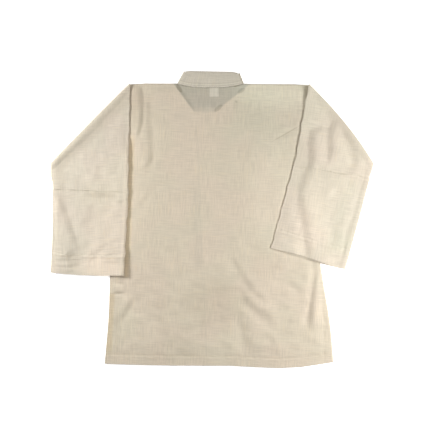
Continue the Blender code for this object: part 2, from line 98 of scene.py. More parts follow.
# Beside a sleeve, left and right: over what width the back settles low down and near the shoulder
BESIDE_SLEEVE = 0.002
BESIDE_SLEEVE_SETTLES = ((0.030, 0.030), (0.006, 0.022))
NEAR_SHOULDER = (0.27, 0.33)

# How near an edge creases fade out: the back's edges, beside a sleeve, and the sleeve's own edges
EDGE_FREE = 0.020
BESIDE_FREE = 0.010
SLEEVE_FREE = 0.012

# Folds of the sleeves
FOLD_ROLL = 0.0020
FOLD_INSET = FOLD_ROLL + LAYER + CAD_WALL / 2
FOLD_FLAT = 0.002
FOLD_SETTLES = (0.013, 0.008)
FOLD_LENGTH = 0.010
LOFT_STARTS = 0.022
LOFT_SETTLES = 0.036
EDGE_WANDER = 0.0008
RIM_WIDTH = 0.012
CUFF_OPEN = 0.0006
LIFT_REACH = 0.036
DROP_START = 0.014
DROP_END = 0.044
EDGE_ROLL = 0.0010
CORNER_REACH = 0.045
CUFF_BOW = 0.0035

# Collar
COLLAR_ROLL = 0.0016
COLLAR_TOP_LEFT = (-0.0721, 0.3890)
COLLAR_TOP_RIGHT = (0.0710, 0.3845)
COLLAR_FRONT_HEIGHT = 0.040
COLLAR_FRONT_Z = 0.0008
COLLAR_BACK_Z = COLLAR_FRONT_Z + 2 * COLLAR_ROLL
COLLAR_OPENING = 0.004
COLLAR_TOP_BOW = (0.0010, 0.0026)
COLLAR_CORNER_DIP = 0.0030
COLLAR_FULL = 0.0007
COLLAR_WAVE = 0.0004
COLLAR_FOLDS = 0.00045
COLLAR_PRESS = 0.0006
NECK_SETTLES = 0.045

# Label
LABEL_SIZE = (0.024, 0.024)
LABEL_AT = (0.0055, 0.3345)
LABEL_UNDER = 0.0012
LABEL_WALL = 0.0006
LABEL_TONE = (0.70, 0.66, 0.57)

# Fasteners: a bar's cord runs from near the knot to its end and back, and a cord has a half width and height
FROG_COUNT = 7
FROG_FIRST_Y = 0.245
FROG_SPACING = 0.083
FROG_Z = 0.00062
FROG_BAR = (0.0035, 0.0329)
FROG_PAIR = 0.0015
FROG_CORD = (0.0014, 0.00055)
KNOT_REACH = (0.0030, 0.0011)
KNOT_RISE = 0.0001
KNOT_CORD = (0.0011, 0.00045)
CORD_TONE = (0.60, 0.52, 0.39)

# How the fronts ride over the fasteners
FROG_RAISE = 0.0015
FROG_BAND = 0.050
FROG_BAND_FADE = 0.022
FROG_FADE_TOP = (0.262, 0.280)
FROG_FADE_HEM = (-0.375, -0.285)

# Sections of each folded sleeve, from its fold to its cuff: inner edge and outer edge
SLEEVE_LEFT = (
    (-0.2172, 0.3577, -0.4247, 0.1486),
    (-0.2180, 0.2145, -0.4230, 0.1136),
    (-0.2201, 0.0710, -0.4174, 0.0786),
    (-0.2265, -0.0380, -0.4182, -0.0304),
    (-0.2320, -0.1468, -0.4226, -0.1394),
)
SLEEVE_RIGHT = (
    (0.2556, 0.3551, 0.4261, 0.1460),
    (0.2351, 0.2479, 0.4195, 0.1275),
    (0.2146, 0.1407, 0.4137, 0.1091),
    (0.1856, 0.0329, 0.3820, -0.0100),
    (0.1565, -0.0750, 0.3485, -0.1302),
)

# How far each sleeve's inner edge stands off the back, in millimetres at heights up the jacket
LIFT_LEFT = (
    (-150, 9.8), (-100, 7.8), (-76, 5.8), (-62, 3.9), (-30, 3.3), (30, 3.1), (60, 4.1), (100, 3.7),
    (124, 3.1), (136, 4.5), (150, 4.3), (165, 3.6), (186, 2.9), (203, 1.8), (226, 0.6), (250, 0.2),
    (360, 0.2),
)
LIFT_RIGHT = ((-130, 0.2), (40, 0.2), (120, 0.5), (200, 0.9), (290, 1.1), (360, 1.4))

# Sections at the join, where the cuff's two walls start to part, and at the cuff
JOIN_SECTION = 2
PART_SECTION = 3.5
CUFF_SECTION = 4

# Edges of the body below the armpits: left x and y, right x and y
BODY = (
    (-0.2656, 0.0381, 0.2683, 0.0355),
    (-0.2683, -0.1486, 0.2851, -0.1170),
    (-0.2717, -0.2591, 0.3093, -0.2696),
    (-0.2819, -0.3787, 0.3190, -0.3748),
)

# How far the hem hangs below a straight line between its corners, at shares of its width
HEM_SHARES = (0.00, 0.11, 0.30, 0.55, 0.66, 0.76, 0.86, 0.95, 1.00)
HEM_DROPS = (0.0000, 0.0031, 0.0062, 0.0076, 0.0118, 0.0148, 0.0121, 0.0045, 0.0000)

# What differs between the two sleeves
# The last field sets the painted shade along each cuff's end edge
Side = namedtuple("Side", "name sign sleeve lifts fold_bow underarm_corner corner_lift cuff_step "
                          "rim inner_rim puff seams edge_line")
LEFT = Side(
    name="left",
    sign=-1,
    sleeve=SLEEVE_LEFT,
    lifts=LIFT_LEFT,
    fold_bow=0.001,
    underarm_corner=(-0.2680, 0.1360),
    corner_lift=0.0,
    cuff_step=0.0,
    rim=0.0,
    inner_rim=0.0012,
    puff=1.0,
    seams=(0.30, 0.8),
    edge_line=0.5,
)
RIGHT = Side(
    name="right",
    sign=1,
    sleeve=SLEEVE_RIGHT,
    lifts=LIFT_RIGHT,
    fold_bow=0.009,
    underarm_corner=(0.2700, 0.1335),
    corner_lift=0.0055,
    cuff_step=0.0052,
    rim=0.0010,
    inner_rim=0.0,
    puff=0.35,
    seams=(0.06, 0.3),
    edge_line=0.9,
)
SIDES = (LEFT, RIGHT)

# Creases in millimetres: a path, the trough's half width and depth, and the swells on its left and right
Crease = namedtuple("Crease", "path width depth left right")
BACK_CREASES = (
    Crease(((-184, 368), (-182, 320), (-181, 262), (-192, 205)), 7, 1.8, 0.3, 8.2),
    Crease(((-162, 318), (-157, 250), (-154, 160), (-177, 100)), 10, 1.4, 0.4, 4.4),
    Crease(((-150, 185), (-166, 142), (-206, 120)), 6, 1.2, 0.3, 2.6),
    Crease(((-127, 107), (-163, 64), (-191, 30), (-206, 9)), 9, 0.9, 0.2, 1.5),
    Crease(((163, 208), (192, 225), (222, 242)), 4, 1.2, 1.4, 0.3),
    Crease(((38, -80), (56, -122), (89, -172), (114, -202), (145, -223)), 11, 1.2, 3.5, 0.4),
    Crease(((66, -192), (98, -234), (132, -262), (168, -276)), 14, 2.0, 4.9, 0.6),
    Crease(((56, -244), (74, -296), (84, -356)), 16, 1.4, 3.4, 0.4),
    Crease(((136, -298), (150, -318), (158, -340)), 9, 0.6, 0.9, 0.3),
    Crease(((190, -160), (216, -184), (240, -206)), 10, 0.9, 1.5, 0.3),
    Crease(((-20, -189), (29, -186), (80, -187)), 7, 0.9, 1.2, 0.3),
    Crease(((273, -84), (266, -140), (258, -205), (247, -290)), 9.5, 2.0, 7.0, 0.6),
    Crease(((-196, -200), (-217, -238), (-242, -284)), 10, 1.8, 0.4, 6.4),
    Crease(((-53, -296), (-21, -277)), 7, 0.9, 1.2, 0.3),
    Crease(((-276, -168), (-252, -169), (-226, -172)), 4, 2.0, 0.6, 3.6),
    Crease(((-276, -196), (-252, -195), (-226, -196)), 4, 2.0, 3.6, 0.6),
    Crease(((-120, 190), (-96, 120), (-104, 40)), 12, 0.8, 0.2, 1.4),
    Crease(((100, 300), (128, 262), (170, 250)), 11, 0.8, 1.0, 0.3),
    Crease(((-130, -60), (-90, -130), (-96, -190)), 12, 0.8, 0.2, 1.2),
    Crease(((180, 60), (196, 10), (186, -40)), 12, 0.8, 1.4, 0.2),
    Crease(((-150, 330), (-100, 322), (-104, 300)), 8, 0.6, 0.8, 0.3),
)
SLEEVE_CREASES = (
    Crease(((-396, 70), (-374, 12), (-356, -36), (-340, -96)), 13, 2.2, 0.4, 7.6),
    Crease(((-262, 41), (-242, 43), (-216, 46)), 4, 1.4, 2.2, 0.4),
    Crease(((-300, 150), (-278, 96), (-284, 40)), 11, 0.8, 0.2, 1.2),
    Crease(((-330, 30), (-318, -20), (-322, -70)), 11, 0.8, 0.2, 1.2),
    Crease(((-262, -56), (-295, -90), (-329, -128)), 8, 0.6, 0.3, 2.6),
    Crease(((-358, -84), (-370, -108), (-360, -138)), 9, 1.4, 0.3, 2.6),
    Crease(((-424, -80), (-384, -82), (-338, -81)), 3, 0.9, 1.4, 0.4),
    Crease(((-424, -106), (-385, -109), (-340, -106)), 3, 0.9, 1.3, 0.4),
    Crease(((-424, -122), (-380, -126), (-336, -121)), 3, 0.9, 1.3, 0.4),
    Crease(((-300, 62), (-270, 55), (-236, 60)), 6, 0.8, 1.0, 0.4),
    Crease(((253, 252), (249, 196), (251, 166), (248, 132)), 13, 1.8, 4.2, 0.4),
    Crease((
        (254, 250), (248, 196), (249, 166), (244, 137), (227, 104), (220, 68), (222, 35), (230, 2),
        (236, -31), (240, -64), (244, -112),
    ), 15, 1.8, 6.2, 0.5),
    Crease(((306, 272), (303, 248), (301, 216), (301, 183), (298, 140)), 12, 2.4, 7.6, 0.5),
    Crease(((334, 246), (345, 214), (359, 186), (366, 160), (362, 126)), 12, 2.0, 5.6, 0.6),
    Crease(((385, 70), (375, 20), (358, -20), (348, -60), (340, -110)), 5, 0.8, 0.5, 0.8),
    Crease(((300, 96), (286, 50), (292, 4)), 10, 0.8, 1.4, 0.2),
    Crease(((222, 40), (214, 8), (200, -30)), 9, 0.8, 1.0, 0.2),
)
CREASE_ENDS = 0.30
CREASE_FADE = 0.028

# Lengths of the low waves in the cloth and of the ripples along a sewing line
BACK_WAVES = (0.035, 0.055, 0.085, 0.130, 0.180)
SLEEVE_WAVES = (0.032, 0.050, 0.080, 0.120)
COLLAR_WAVES = (0.020, 0.034, 0.060)
RIPPLES = (0.011, 0.015, 0.021)

# Ovals of painted light and shade, some a little cooler or warmer, among them thin ones for the shade of
# creases and two that draw the dark sewing line on the left cuff: middle, half length, half width, turn, tint
# and how much of it
Tone = namedtuple("Tone", "x y half_long half_wide turn tint share")
BACK_PAINTED_LIGHT_AND_SHADE = (
    Tone(0.195, 0.376, 0.150, 0.092, 0.0, "cool_light_tint", 1.00),
    # Painted shadow in the hollow under the right sleeve's fold corner
    Tone(0.2485, 0.340, 0.0070, 0.022, -0.19, "end_tint", 0.55),
    Tone(0.150, 0.262, 0.120, 0.100, 0.0, "cool_tint", 0.90),
    Tone(-0.205, 0.078, 0.050, 0.170, 0.0, "warm_light_tint", 0.24),
    Tone(-0.215, -0.300, 0.075, 0.105, 0.0, "cool_light_tint", 0.36),
    Tone(0.174, 0.060, 0.085, 0.170, 0.0, "cool_light_tint", 0.36),
    Tone(0.015, -0.214, 0.088, 0.068, 0.0, "warm_shade_tint", 0.32),
    Tone(0.030, -0.335, 0.070, 0.040, 0.0, "cool_light_tint", 0.22),
    Tone(0.120, 0.345, 0.120, 0.048, 0.0, "cool_light_tint", 0.26),
    # Painted shade on the back just beside the left sleeve's fold
    Tone(-0.204, 0.318, 0.014, 0.075, 0.0, "warm_shade_tint", 0.55),
    Tone(-0.180, 0.290, 0.036, 0.065, 0.0, "warm_shade_tint", 0.15),
    Tone(0.140, -0.105, 0.040, 0.058, 0.0, "warm_shade_tint", 0.16),
    # Painted shadow, darker, beside the left sleeve near its cuff
    Tone(-0.2285, -0.094, 0.009, 0.034, 0.0, "warm_shade_tint", 0.38),
    # Painted shade of a crease low on the back, and of a thin crease by the right shoulder
    Tone(0.018, -0.190, 0.045, 0.008, 0.0, "warm_shade_tint", 0.12),
    Tone(0.195, 0.226, 0.044, 0.0018, 0.52, "warm_shade_tint", 0.85),
)
# Painted light and shade on the sleeves; the last two rows draw the dark sewing line on the left cuff
SLEEVE_PAINTED_LIGHT_SHADE_AND_SEAM = (
    Tone(-0.2945, -0.1276, 0.065, 0.028, 0.0, "warm_light_tint", 0.95),
    Tone(-0.2290, 0.030, 0.0075, 0.180, -0.039, "warm_light_tint", 0.40),
    Tone(-0.2630, -0.007, 0.024, 0.110, 0.0, "warm_light_tint", 0.28),
    Tone(0.2520, -0.0145, 0.038, 0.110, -0.2, "warm_light_tint", 0.46),
    Tone(0.2630, 0.283, 0.060, 0.080, 0.0, "cool_light_tint", 0.42),
    Tone(0.358, -0.005, 0.120, 0.042, 1.27, "cool_tint", 0.90),
    Tone(0.342, -0.050, 0.110, 0.040, 1.27, "warm_shade_tint", 0.16),
    Tone(-0.315, 0.040, 0.040, 0.060, 0.0, "warm_shade_tint", 0.15),
    Tone(-0.305, -0.085, 0.030, 0.030, 0.0, "warm_light_tint", 0.30),
    Tone(0.389, 0.104, 0.035, 0.040, 0.0, "warm_shade_tint", 0.16),
    Tone(-0.292, 0.0643, 0.040, 0.0085, -0.038, "warm_shade_tint", 0.46),
    Tone(-0.363, -0.1144, 0.017, 0.019, 0.0, "warm_shade_tint", 0.46),
    Tone(-0.263, -0.1118, 0.022, 0.0055, 0.0, "warm_shade_tint", 0.46),
    Tone(-0.3635, -0.0935, 0.020, 0.0019, -0.03, "end_tint", 0.50),
    Tone(-0.3960, -0.0885, 0.020, 0.0015, -0.24, "end_tint", 0.30),
)

# Where the collar's corners, folded under, darken the cloth over them, and painted shade at the collar's two
# ends
NAPE_TONES = (
    Tone(0.0770, 0.3385, 0.0120, 0.0055, 0.60, "tab_tint", 0.80),
    Tone(0.0170, 0.2925, 0.0140, 0.0060, 0.72, "tab_tint", 0.90),
    Tone(0.0635, 0.3095, 0.0042, 0.0026, -0.40, "tab_tint", 0.75),
    # Painted shade at the collar's two ends
    Tone(-0.0865, 0.3445, 0.0135, 0.0055, -0.95, "end_tint", 0.60),
    Tone(0.0655, 0.3515, 0.0085, 0.0026, 0.35, "end_tint", 0.60),
)

# Where an oval's edge starts and ends, in squares of its half sizes
SOFT_EDGE = (1.5, 0.0)
FIRM_EDGE = (1.3, 0.5)

# Sewing lines
HEM_TURN = 0.025
CUFF_TURN = 0.053
VENT_TOP = (-0.188, -0.214)
VENT_TURN = ((0.022, 0.025), (0.009, 0.024))
COLLAR_STITCH = 0.0075
STITCH_END = 0.004
GROOVE = 0.00056
HEM_PUCKER = 0.00025
VENT_PUCKER = 0.0002
JOIN_PUCKER = 0.0004
CUFF_PUCKER = 0.0005
TURNED_STEP = 0.0004
SIDE_GROOVE = 0.0005
NECK_RIDGE = 0.0006

# How strongly the sewing lines are tinted, partly as painted shade in their grooves, and how wide; CUFF_SHADE
# is painted shade on the right cuff's lower wall, just past the end of its upper wall
SEAM_WIDTH = 0.0012
HEM_SEAM = 0.35
VENT_SEAMS = (0.12, 0.4)
CUFF_SHADE = 0.2

SEED = 20

# Stage
CAMERA_AT = (0.0053, 0.0145, 3.0)
FRAME_WIDTH = 1.1256
SENSOR_WIDTH = 36.0
LAMP_COLOUR = (1.0, 0.985, 0.96)
LEFT_LAMP_SHARE = 0.6
SUN_ANGLE = math.radians(20.0)
SURROUND_COLOUR = (1.0, 0.93, 0.82, 1.0)
TABLE_REACH = 6.0


def smooth(t):
    t = np.clip(t, 0.0, 1.0)
    return t * t * (3.0 - 2.0 * t)


def rise(value, start, end):
    """0 at start and 1 at end, with a soft change between them."""
    return smooth((value - start) / (end - start))


def mix(a, b, t):
    return a + (b - a) * t


def apart(a, b):
    """How far places are from others."""
    return np.linalg.norm(a - b, axis=-1)


def distances_along(path):
    """How far along a path each of its places is."""
    return np.concatenate(([0.0], np.cumsum(apart(path[1:], path[:-1]))))


def spaced(places, counts):
    """Values from the first place to the last, with a number of even steps between each two."""
    parts = [np.linspace(a, b, n + 1)[:-1] for a, b, n in zip(places, places[1:], counts)]
    return np.concatenate((*parts, places[-1:]))


def higher(a, b):
    """The larger of two heights, with a soft bend where they meet."""
    return np.logaddexp(a / MEETING, b / MEETING) * MEETING


def bump(away, width):
    return np.exp(-((away / width) ** 2))


def through(rows, f):
    """The values of a table at fractional rows, on a smooth curve through the rows."""
    rows = np.asarray(rows)
    f = np.asarray(f, dtype=float)
    last = len(rows) - 1
    i = np.clip(f.astype(int), 0, last - 1)
    t = (f - i)[..., None]
    a, b, c, d = (rows[np.clip(i + n, 0, last)] for n in (-1, 0, 1, 2))
    return b + 0.5 * t * (c - a + t * (2 * a - 5 * b + 4 * c - d + t * (3 * (b - c) + d - a)))


def to_path(p, path):
    """How far places are from a path, how far along it they are, and on which hand.

    Gives the distance, the nearest place's distance from the path's nearer end, and +1 on the left or -1 on
    the right.
    """
    starts = distances_along(path)
    best = np.full(p.shape[:-1], np.inf)
    place = np.zeros(p.shape[:-1])
    hand = np.ones(p.shape[:-1])
    for a, b, start, end in zip(path, path[1:], starts, starts[1:]):
        along = b - a
        t = np.clip((p - a) @ along / (along @ along), 0.0, 1.0)
        away = p - a - t[..., None] * along
        distance = np.hypot(away[..., 0], away[..., 1])
        near = distance < best
        left = along[0] * away[..., 1] >= along[1] * away[..., 0]
        best = np.where(near, distance, best)
        place = np.where(near, mix(start, end, t), place)
        hand = np.where(near, np.where(left, 1.0, -1.0), hand)
    return best, np.minimum(place, starts[-1] - place), hand


def rounded(path):
    """A path through the given places with its corners eased."""
    steps = np.linspace(0, len(path) - 1, 8 * (len(path) - 1) + 1)
    return through(path, steps) * 0.001


def creased(p, rows, depth):
    """The height that troughs take away from laid cloth and that the swells beside them add."""
    height = np.zeros(p.shape[:-1])
    for crease in rows:
        path = rounded(crease.path)
        away, from_end, hand = to_path(p, path)
        width = crease.width * 0.001
        ends = smooth(from_end / min(CREASE_FADE, CREASE_ENDS * distances_along(path)[-1]))
        swell = np.where(hand > 0, crease.left, crease.right)
        swell = swell * (1.0 - bump(away, 1.3 * width)) * bump(away, 3.4 * width)
        height += ends * (swell - crease.depth * bump(away, width)) * 0.001
    return height * depth


def waves(p, lengths, seed):
    """Low uneven waves of about one unit, in directions and phases that the seed fixes."""
    rng = np.random.default_rng(seed)
    total = np.zeros(p.shape[:-1])
    for length in lengths:
        angle, phase, bend = rng.uniform(0.0, 2.0 * math.pi, 3)
        along = p[..., 0] * math.cos(angle) + p[..., 1] * math.sin(angle)
        across = p[..., 1] * math.cos(angle) - p[..., 0] * math.sin(angle)
        wander = 1.2 * np.sin(2.0 * math.pi * across / (1.6 * length) + bend)
        total += np.sin(2.0 * math.pi * along / length + phase + wander)
    return total / math.sqrt(len(lengths))


# Grid steps of the fine sheets
Columns = namedtuple("Columns", "side_left neck_left underlap neck_right side_right")
BACK_COLUMNS = Columns(45, 18, 8, 26, 48)
FRONT_COLUMNS = Columns(12, 9, 4, 13, 12)
COLLAR_COLUMNS = Columns(4, 26, 8, 32, 4)
G_STEPS = np.linspace(0.0, 1.0, 77)
UPPER_STEPS = spaced((0.0, 1.88, 2.0), (55, 10))
HIDDEN_STEPS = np.linspace(0.0, 2.0, 21)
TUBE_STEPS = spaced((2.0, 2.10, 3.42, 3.60, 3.92, 4.0), (8, 36, 14, 10, 8))
BACK_LINES = spaced((0.0, 0.915, 0.95, 1.0), (97, 9, 8))
FRONT_LINES = spaced((0.0, 0.915, 1.0), (25, 8))
ROOT_STEPS = 16
FOLD_STEPS = 12
EDGE_STEPS = 6
COLLAR_STEPS = 8
COLLAR_ROWS = 18


# Outlines

def fold_normal(side):
    first = side.sleeve[0]
    along = np.array((first[2] - first[0], first[3] - first[1]))
    along = along / np.hypot(*along)
    return np.array((-along[1], along[0])) * side.sign


def sleeve_point(side, f, g):
    """Places on the folded sleeve, f sections from its fold and g of the way to its outer edge."""
    f, g = np.broadcast_arrays(np.asarray(f, dtype=float), np.asarray(g, dtype=float))
    section = through(side.sleeve, f)
    p = mix(section[..., 0:2], section[..., 2:4], g[..., None])
    shift = side.fold_bow * 4.0 * g * (1.0 - g) - FOLD_INSET
    p = p + (shift * np.maximum(0.0, 1.0 - f))[..., None] * fold_normal(side)
    past_join = np.maximum(0.0, (f - JOIN_SECTION) / (CUFF_SECTION - JOIN_SECTION))
    p[..., 1] -= CUFF_BOW * 4.0 * g * (1.0 - g) * past_join
    uneven = np.sin(p[..., 1] / 0.0087 + side.sign) + np.sin(p[..., 1] / 0.0051)
    p[..., 0] += EDGE_WANDER * uneven * (1.0 - smooth(g / 0.12)) * smooth(f / 0.5)
    return p


def armpit(side):
    return np.array(BODY[0][0:2] if side.sign < 0 else BODY[0][2:4])


def underarm(side, t):
    """The curved seam from the fold's outer end to the armpit."""
    t = np.asarray(t, dtype=float)[..., None]
    start = sleeve_point(side, 0.0, 1.0)
    corner = np.array(side.underarm_corner)
    return start * (1 - t) ** 2 + corner * 2 * t * (1 - t) + armpit(side) * t * t


def shoulder_y(x):
    start, end = SLEEVE_LEFT[0][0], SLEEVE_RIGHT[0][0]
    return mix(SHOULDER_LEFT_Y, SHOULDER_RIGHT_Y, (x - start) / (end - start))


def opening_x(y):
    """The front edge of the left front, on a line a little askew to the shoulder."""
    return mix(OPENING_TOP_X, OPENING_HEM_X, (OPENING_TOP_Y - y) / (OPENING_TOP_Y - HEM_Y))


def neck_share(x):
    """0 at the opening and 1 at the neck point on either side."""
    end = np.where(x < OPENING_TOP_X, NECK_LEFT_X, NECK_RIGHT_X)
    return np.minimum(1.0, np.abs((x - OPENING_TOP_X) / (end - OPENING_TOP_X)))


def back_neck_y(x):
    return shoulder_y(x) - BACK_NECK_DIP * (1.0 - neck_share(x) ** 3)


def front_neck_y(x):
    return shoulder_y(x) - FRONT_NECK_DEPTH * (1.0 - neck_share(x) ** FRONT_NECK_POWER)


def opening_edge_y(x):
    """The lower edge of the neck opening as it shows through the back."""
    left = OPENING_SLOPES[0] * np.maximum(OPENING_LOW_X[0] - x, 0.0)
    right = OPENING_SLOPES[1] * np.maximum(x - OPENING_LOW_X[1], 0.0)
    return OPENING_LOW_Y + left + right


def column_values(left, right, opening, necks, columns):
    return spaced((left, necks[0], opening - UNDERLAP, opening, necks[1], right), columns)


def line_across(section, opening, necks, sag, columns):
    """A place for each body column on the line between the section's two edges."""
    x = column_values(section[0], section[2], opening, necks, columns)
    share = (x - section[0]) / (section[2] - section[0])
    y = mix(section[1], section[3], share) - sag * np.interp(share, HEM_SHARES, HEM_DROPS)
    return np.stack((x, y), axis=-1)


def top_points(neck_y, columns):
    """The top edge of a panel: shoulder, neckline, shoulder."""
    necks = (NECK_LEFT_X, NECK_RIGHT_X)
    x = column_values(BOUNDARY_LEFT_X, BOUNDARY_RIGHT_X, OPENING_TOP_X, necks, columns)
    tops = np.stack((x, shoulder_y(x)), axis=-1)
    bottoms = line_across(BODY[0], opening_x(armpit(LEFT)[1]), ARMPIT_NECK_X, 0.0, columns)
    t = np.zeros(len(x))
    inside = (x > NECK_LEFT_X) & (x < NECK_RIGHT_X)
    for _ in range(40):
        p = mix(tops, bottoms, t[:, None])
        t += inside * (p[:, 1] - neck_y(p[:, 0])) / (tops[:, 1] - bottoms[:, 1])
    return mix(tops, bottoms, t[:, None])


def lower_lines(steps, columns):
    """A line of places across the body for each step from the armpits to the hem."""
    lines = []
    for t in steps:
        section = through(BODY, t * (len(BODY) - 1))
        opening = opening_x((section[1] + section[3]) / 2)
        necks = (mix(ARMPIT_NECK_X[0], HEM_NECK_X[0], t), mix(ARMPIT_NECK_X[1], HEM_NECK_X[1], t))
        lines.append(line_across(section, opening, necks, t * t, columns))
    return np.array(lines)


def body_edge(side):
    """The panel's edge from the fold's outer end round the armpit to the hem."""
    sections = through(BODY, np.linspace(0, len(BODY) - 1, 25)[1:])
    below = sections[:, 0:2] if side.sign < 0 else sections[:, 2:4]
    return np.concatenate((underarm(side, np.linspace(0.0, 1.0, 13)), below))


EDGES = {side.name: body_edge(side) for side in SIDES}


def edge_x(side, y):
    """Where the panel's edge crosses a height."""
    edge = EDGES[side.name][::-1]
    return np.interp(y, edge[:, 1], edge[:, 0])


def side_in(side, p):
    """How far in from the body's side a place lies."""
    return side.sign * (edge_x(side, p[..., 1]) - p[..., 0])


def outside_body(side, p):
    """How far a place lies outside the two body panels."""
    outside = (p[..., 1] < EDGES[side.name][0][1]) & (side_in(side, p) < 0)
    return np.where(outside, to_path(p, EDGES[side.name])[0], 0.0)


def sleeve_outline(side):
    steps = np.linspace(0.0, CUFF_SECTION, 17)
    inner = sleeve_point(side, steps, 0.0)
    outer = sleeve_point(side, steps[::-1], 1.0)
    fold = sleeve_point(side, 0.0, np.linspace(1.0, 0.0, 9)[1:])
    return np.concatenate((inner, outer, fold))


OUTLINES = {side.name: sleeve_outline(side) for side in SIDES}


def off_sleeve(side, p):
    """How far a place lies outside a folded sleeve."""
    outline = OUTLINES[side.name]
    inside = np.zeros(p.shape[:-1], dtype=bool)
    for a, b in zip(outline, outline[1:]):
        if a[1] != b[1]:
            crosses = (a[1] > p[..., 1]) != (b[1] > p[..., 1])
            inside ^= crosses & (p[..., 0] < mix(a[0], b[0], (p[..., 1] - a[1]) / (b[1] - a[1])))
    return np.where(inside, 0.0, to_path(p, outline)[0])


def above_hem(p):
    """How far up from the hem a place on the body lies."""
    left_x, left_y, right_x, right_y = BODY[-1]
    share = (p[..., 0] - left_x) / (right_x - left_x)
    return p[..., 1] - mix(left_y, right_y, share) + np.interp(share, HEM_SHARES, HEM_DROPS)


# Heights of the middle of each wall

def frog_raise(p):
    """The fronts ride over the flat fasteners down the opening."""
    x, y = p[..., 0], p[..., 1]
    band = smooth(1.0 - (np.abs(x - opening_x(y)) - FROG_BAND) / FROG_BAND_FADE)
    return FROG_RAISE * band * (1.0 - rise(y, *FROG_FADE_TOP)) * rise(y, *FROG_FADE_HEM)


def overlap_raise(p):
    """The right front rides over the left one at the opening."""
    past = p[..., 0] - opening_x(p[..., 1])
    aside = np.where(past > 0, past, -past - UNDERLAP)
    return LAYER * smooth(1.0 - aside / FROG_BAND_FADE)


def neck_raise(p):
    """The back stands off over the thick collar at the neck."""
    x, y = p[..., 0], p[..., 1]
    aside = np.maximum(0.0, np.maximum(NECK_LEFT_X - x, x - NECK_RIGHT_X))
    below = np.maximum(0.0, shoulder_y(x) - FRONT_NECK_DEPTH - y)
    return (COLLAR_BACK_Z - BACK_Z) * smooth(1.0 - np.hypot(aside, below) / NECK_SETTLES)


def sewn(p, line, pucker, seed):
    """A sewing line presses the cloth down and puckers it to both sides; line is the distance from it."""
    return pucker * waves(p, RIPPLES, seed) * bump(line, 0.009) - GROOVE * bump(line, 0.0022)


def vent_turn(top, turn, y):
    """How wide a vent's turned edge is at a height, between its top and the hem."""
    return mix(turn[0], turn[1], np.clip((top - y) / (top - HEM_Y), 0.0, 1.0))


def vents(p):
    """For each side vent: how far below its top places lie, and how far in from its sewing line."""
    for side, top, turn in zip(SIDES, VENT_TOP, VENT_TURN):
        yield top - p[..., 1], side_in(side, p) - vent_turn(top, turn, p[..., 1])


def hem_relief(p, seed):
    """The turned hem and the turned edges of the side vents, two layers thick."""
    up = above_hem(p)
    height = sewn(p, up - HEM_TURN, HEM_PUCKER, seed)
    turned = smooth((HEM_TURN - up) / 0.003)
    for below_top, inside in vents(p):
        down = smooth(below_top / 0.010)
        height = height + down * sewn(p, inside, VENT_PUCKER, seed + 1)
        turned = np.maximum(turned, down * smooth(-inside / 0.003))
    return height + TURNED_STEP * turned


def front_height(p, over):
    height = FRONT_Z + frog_raise(p)
    return height + overlap_raise(p) if over else height


def back_height(p):
    style = bpy.context.scene.jacket_folds
    x, y = p[..., 0], p[..., 1]
    aside = np.minimum(side_in(LEFT, p), side_in(RIGHT, p))
    up, down = above_hem(p), shoulder_y(x) - y
    share = smooth(aside / SIDE_SETTLES) * smooth(up / HEM_SETTLES)
    free = smooth(aside / EDGE_FREE) * smooth(up / EDGE_FREE) * smooth(down / EDGE_FREE)
    beside = np.ones(p.shape[:-1])
    for side, settles in zip(SIDES, BESIDE_SLEEVE_SETTLES):
        off = off_sleeve(side, p)
        beside = beside * smooth((off - BESIDE_SLEEVE) / mix(*settles, rise(y, *NEAR_SHOULDER)))
        free = free * smooth(off / BESIDE_FREE)
    share = share * beside * smooth(down / SHOULDER_SETTLES)
    low = style.back_loft * share
    low = low + free * creased(p, BACK_CREASES, style.crease_depth)
    low = low + share * style.wave_height * waves(p, BACK_WAVES, SEED)
    low = higher(higher(low, neck_raise(p)), frog_raise(p) + overlap_raise(p))
    low = low + NECK_RIDGE * bump((y - opening_edge_y(x)) * 0.8, 0.004) * smooth((0.10 - np.abs(x)) / 0.02)
    seam = np.where(aside < 0.03, smooth((y - min(VENT_TOP)) / 0.02), 0.0)
    low = low - SIDE_GROOVE * seam * (1.0 - smooth(aside / SEAM_SETTLES))
    return BACK_Z + low + hem_relief(p, SEED + 1)


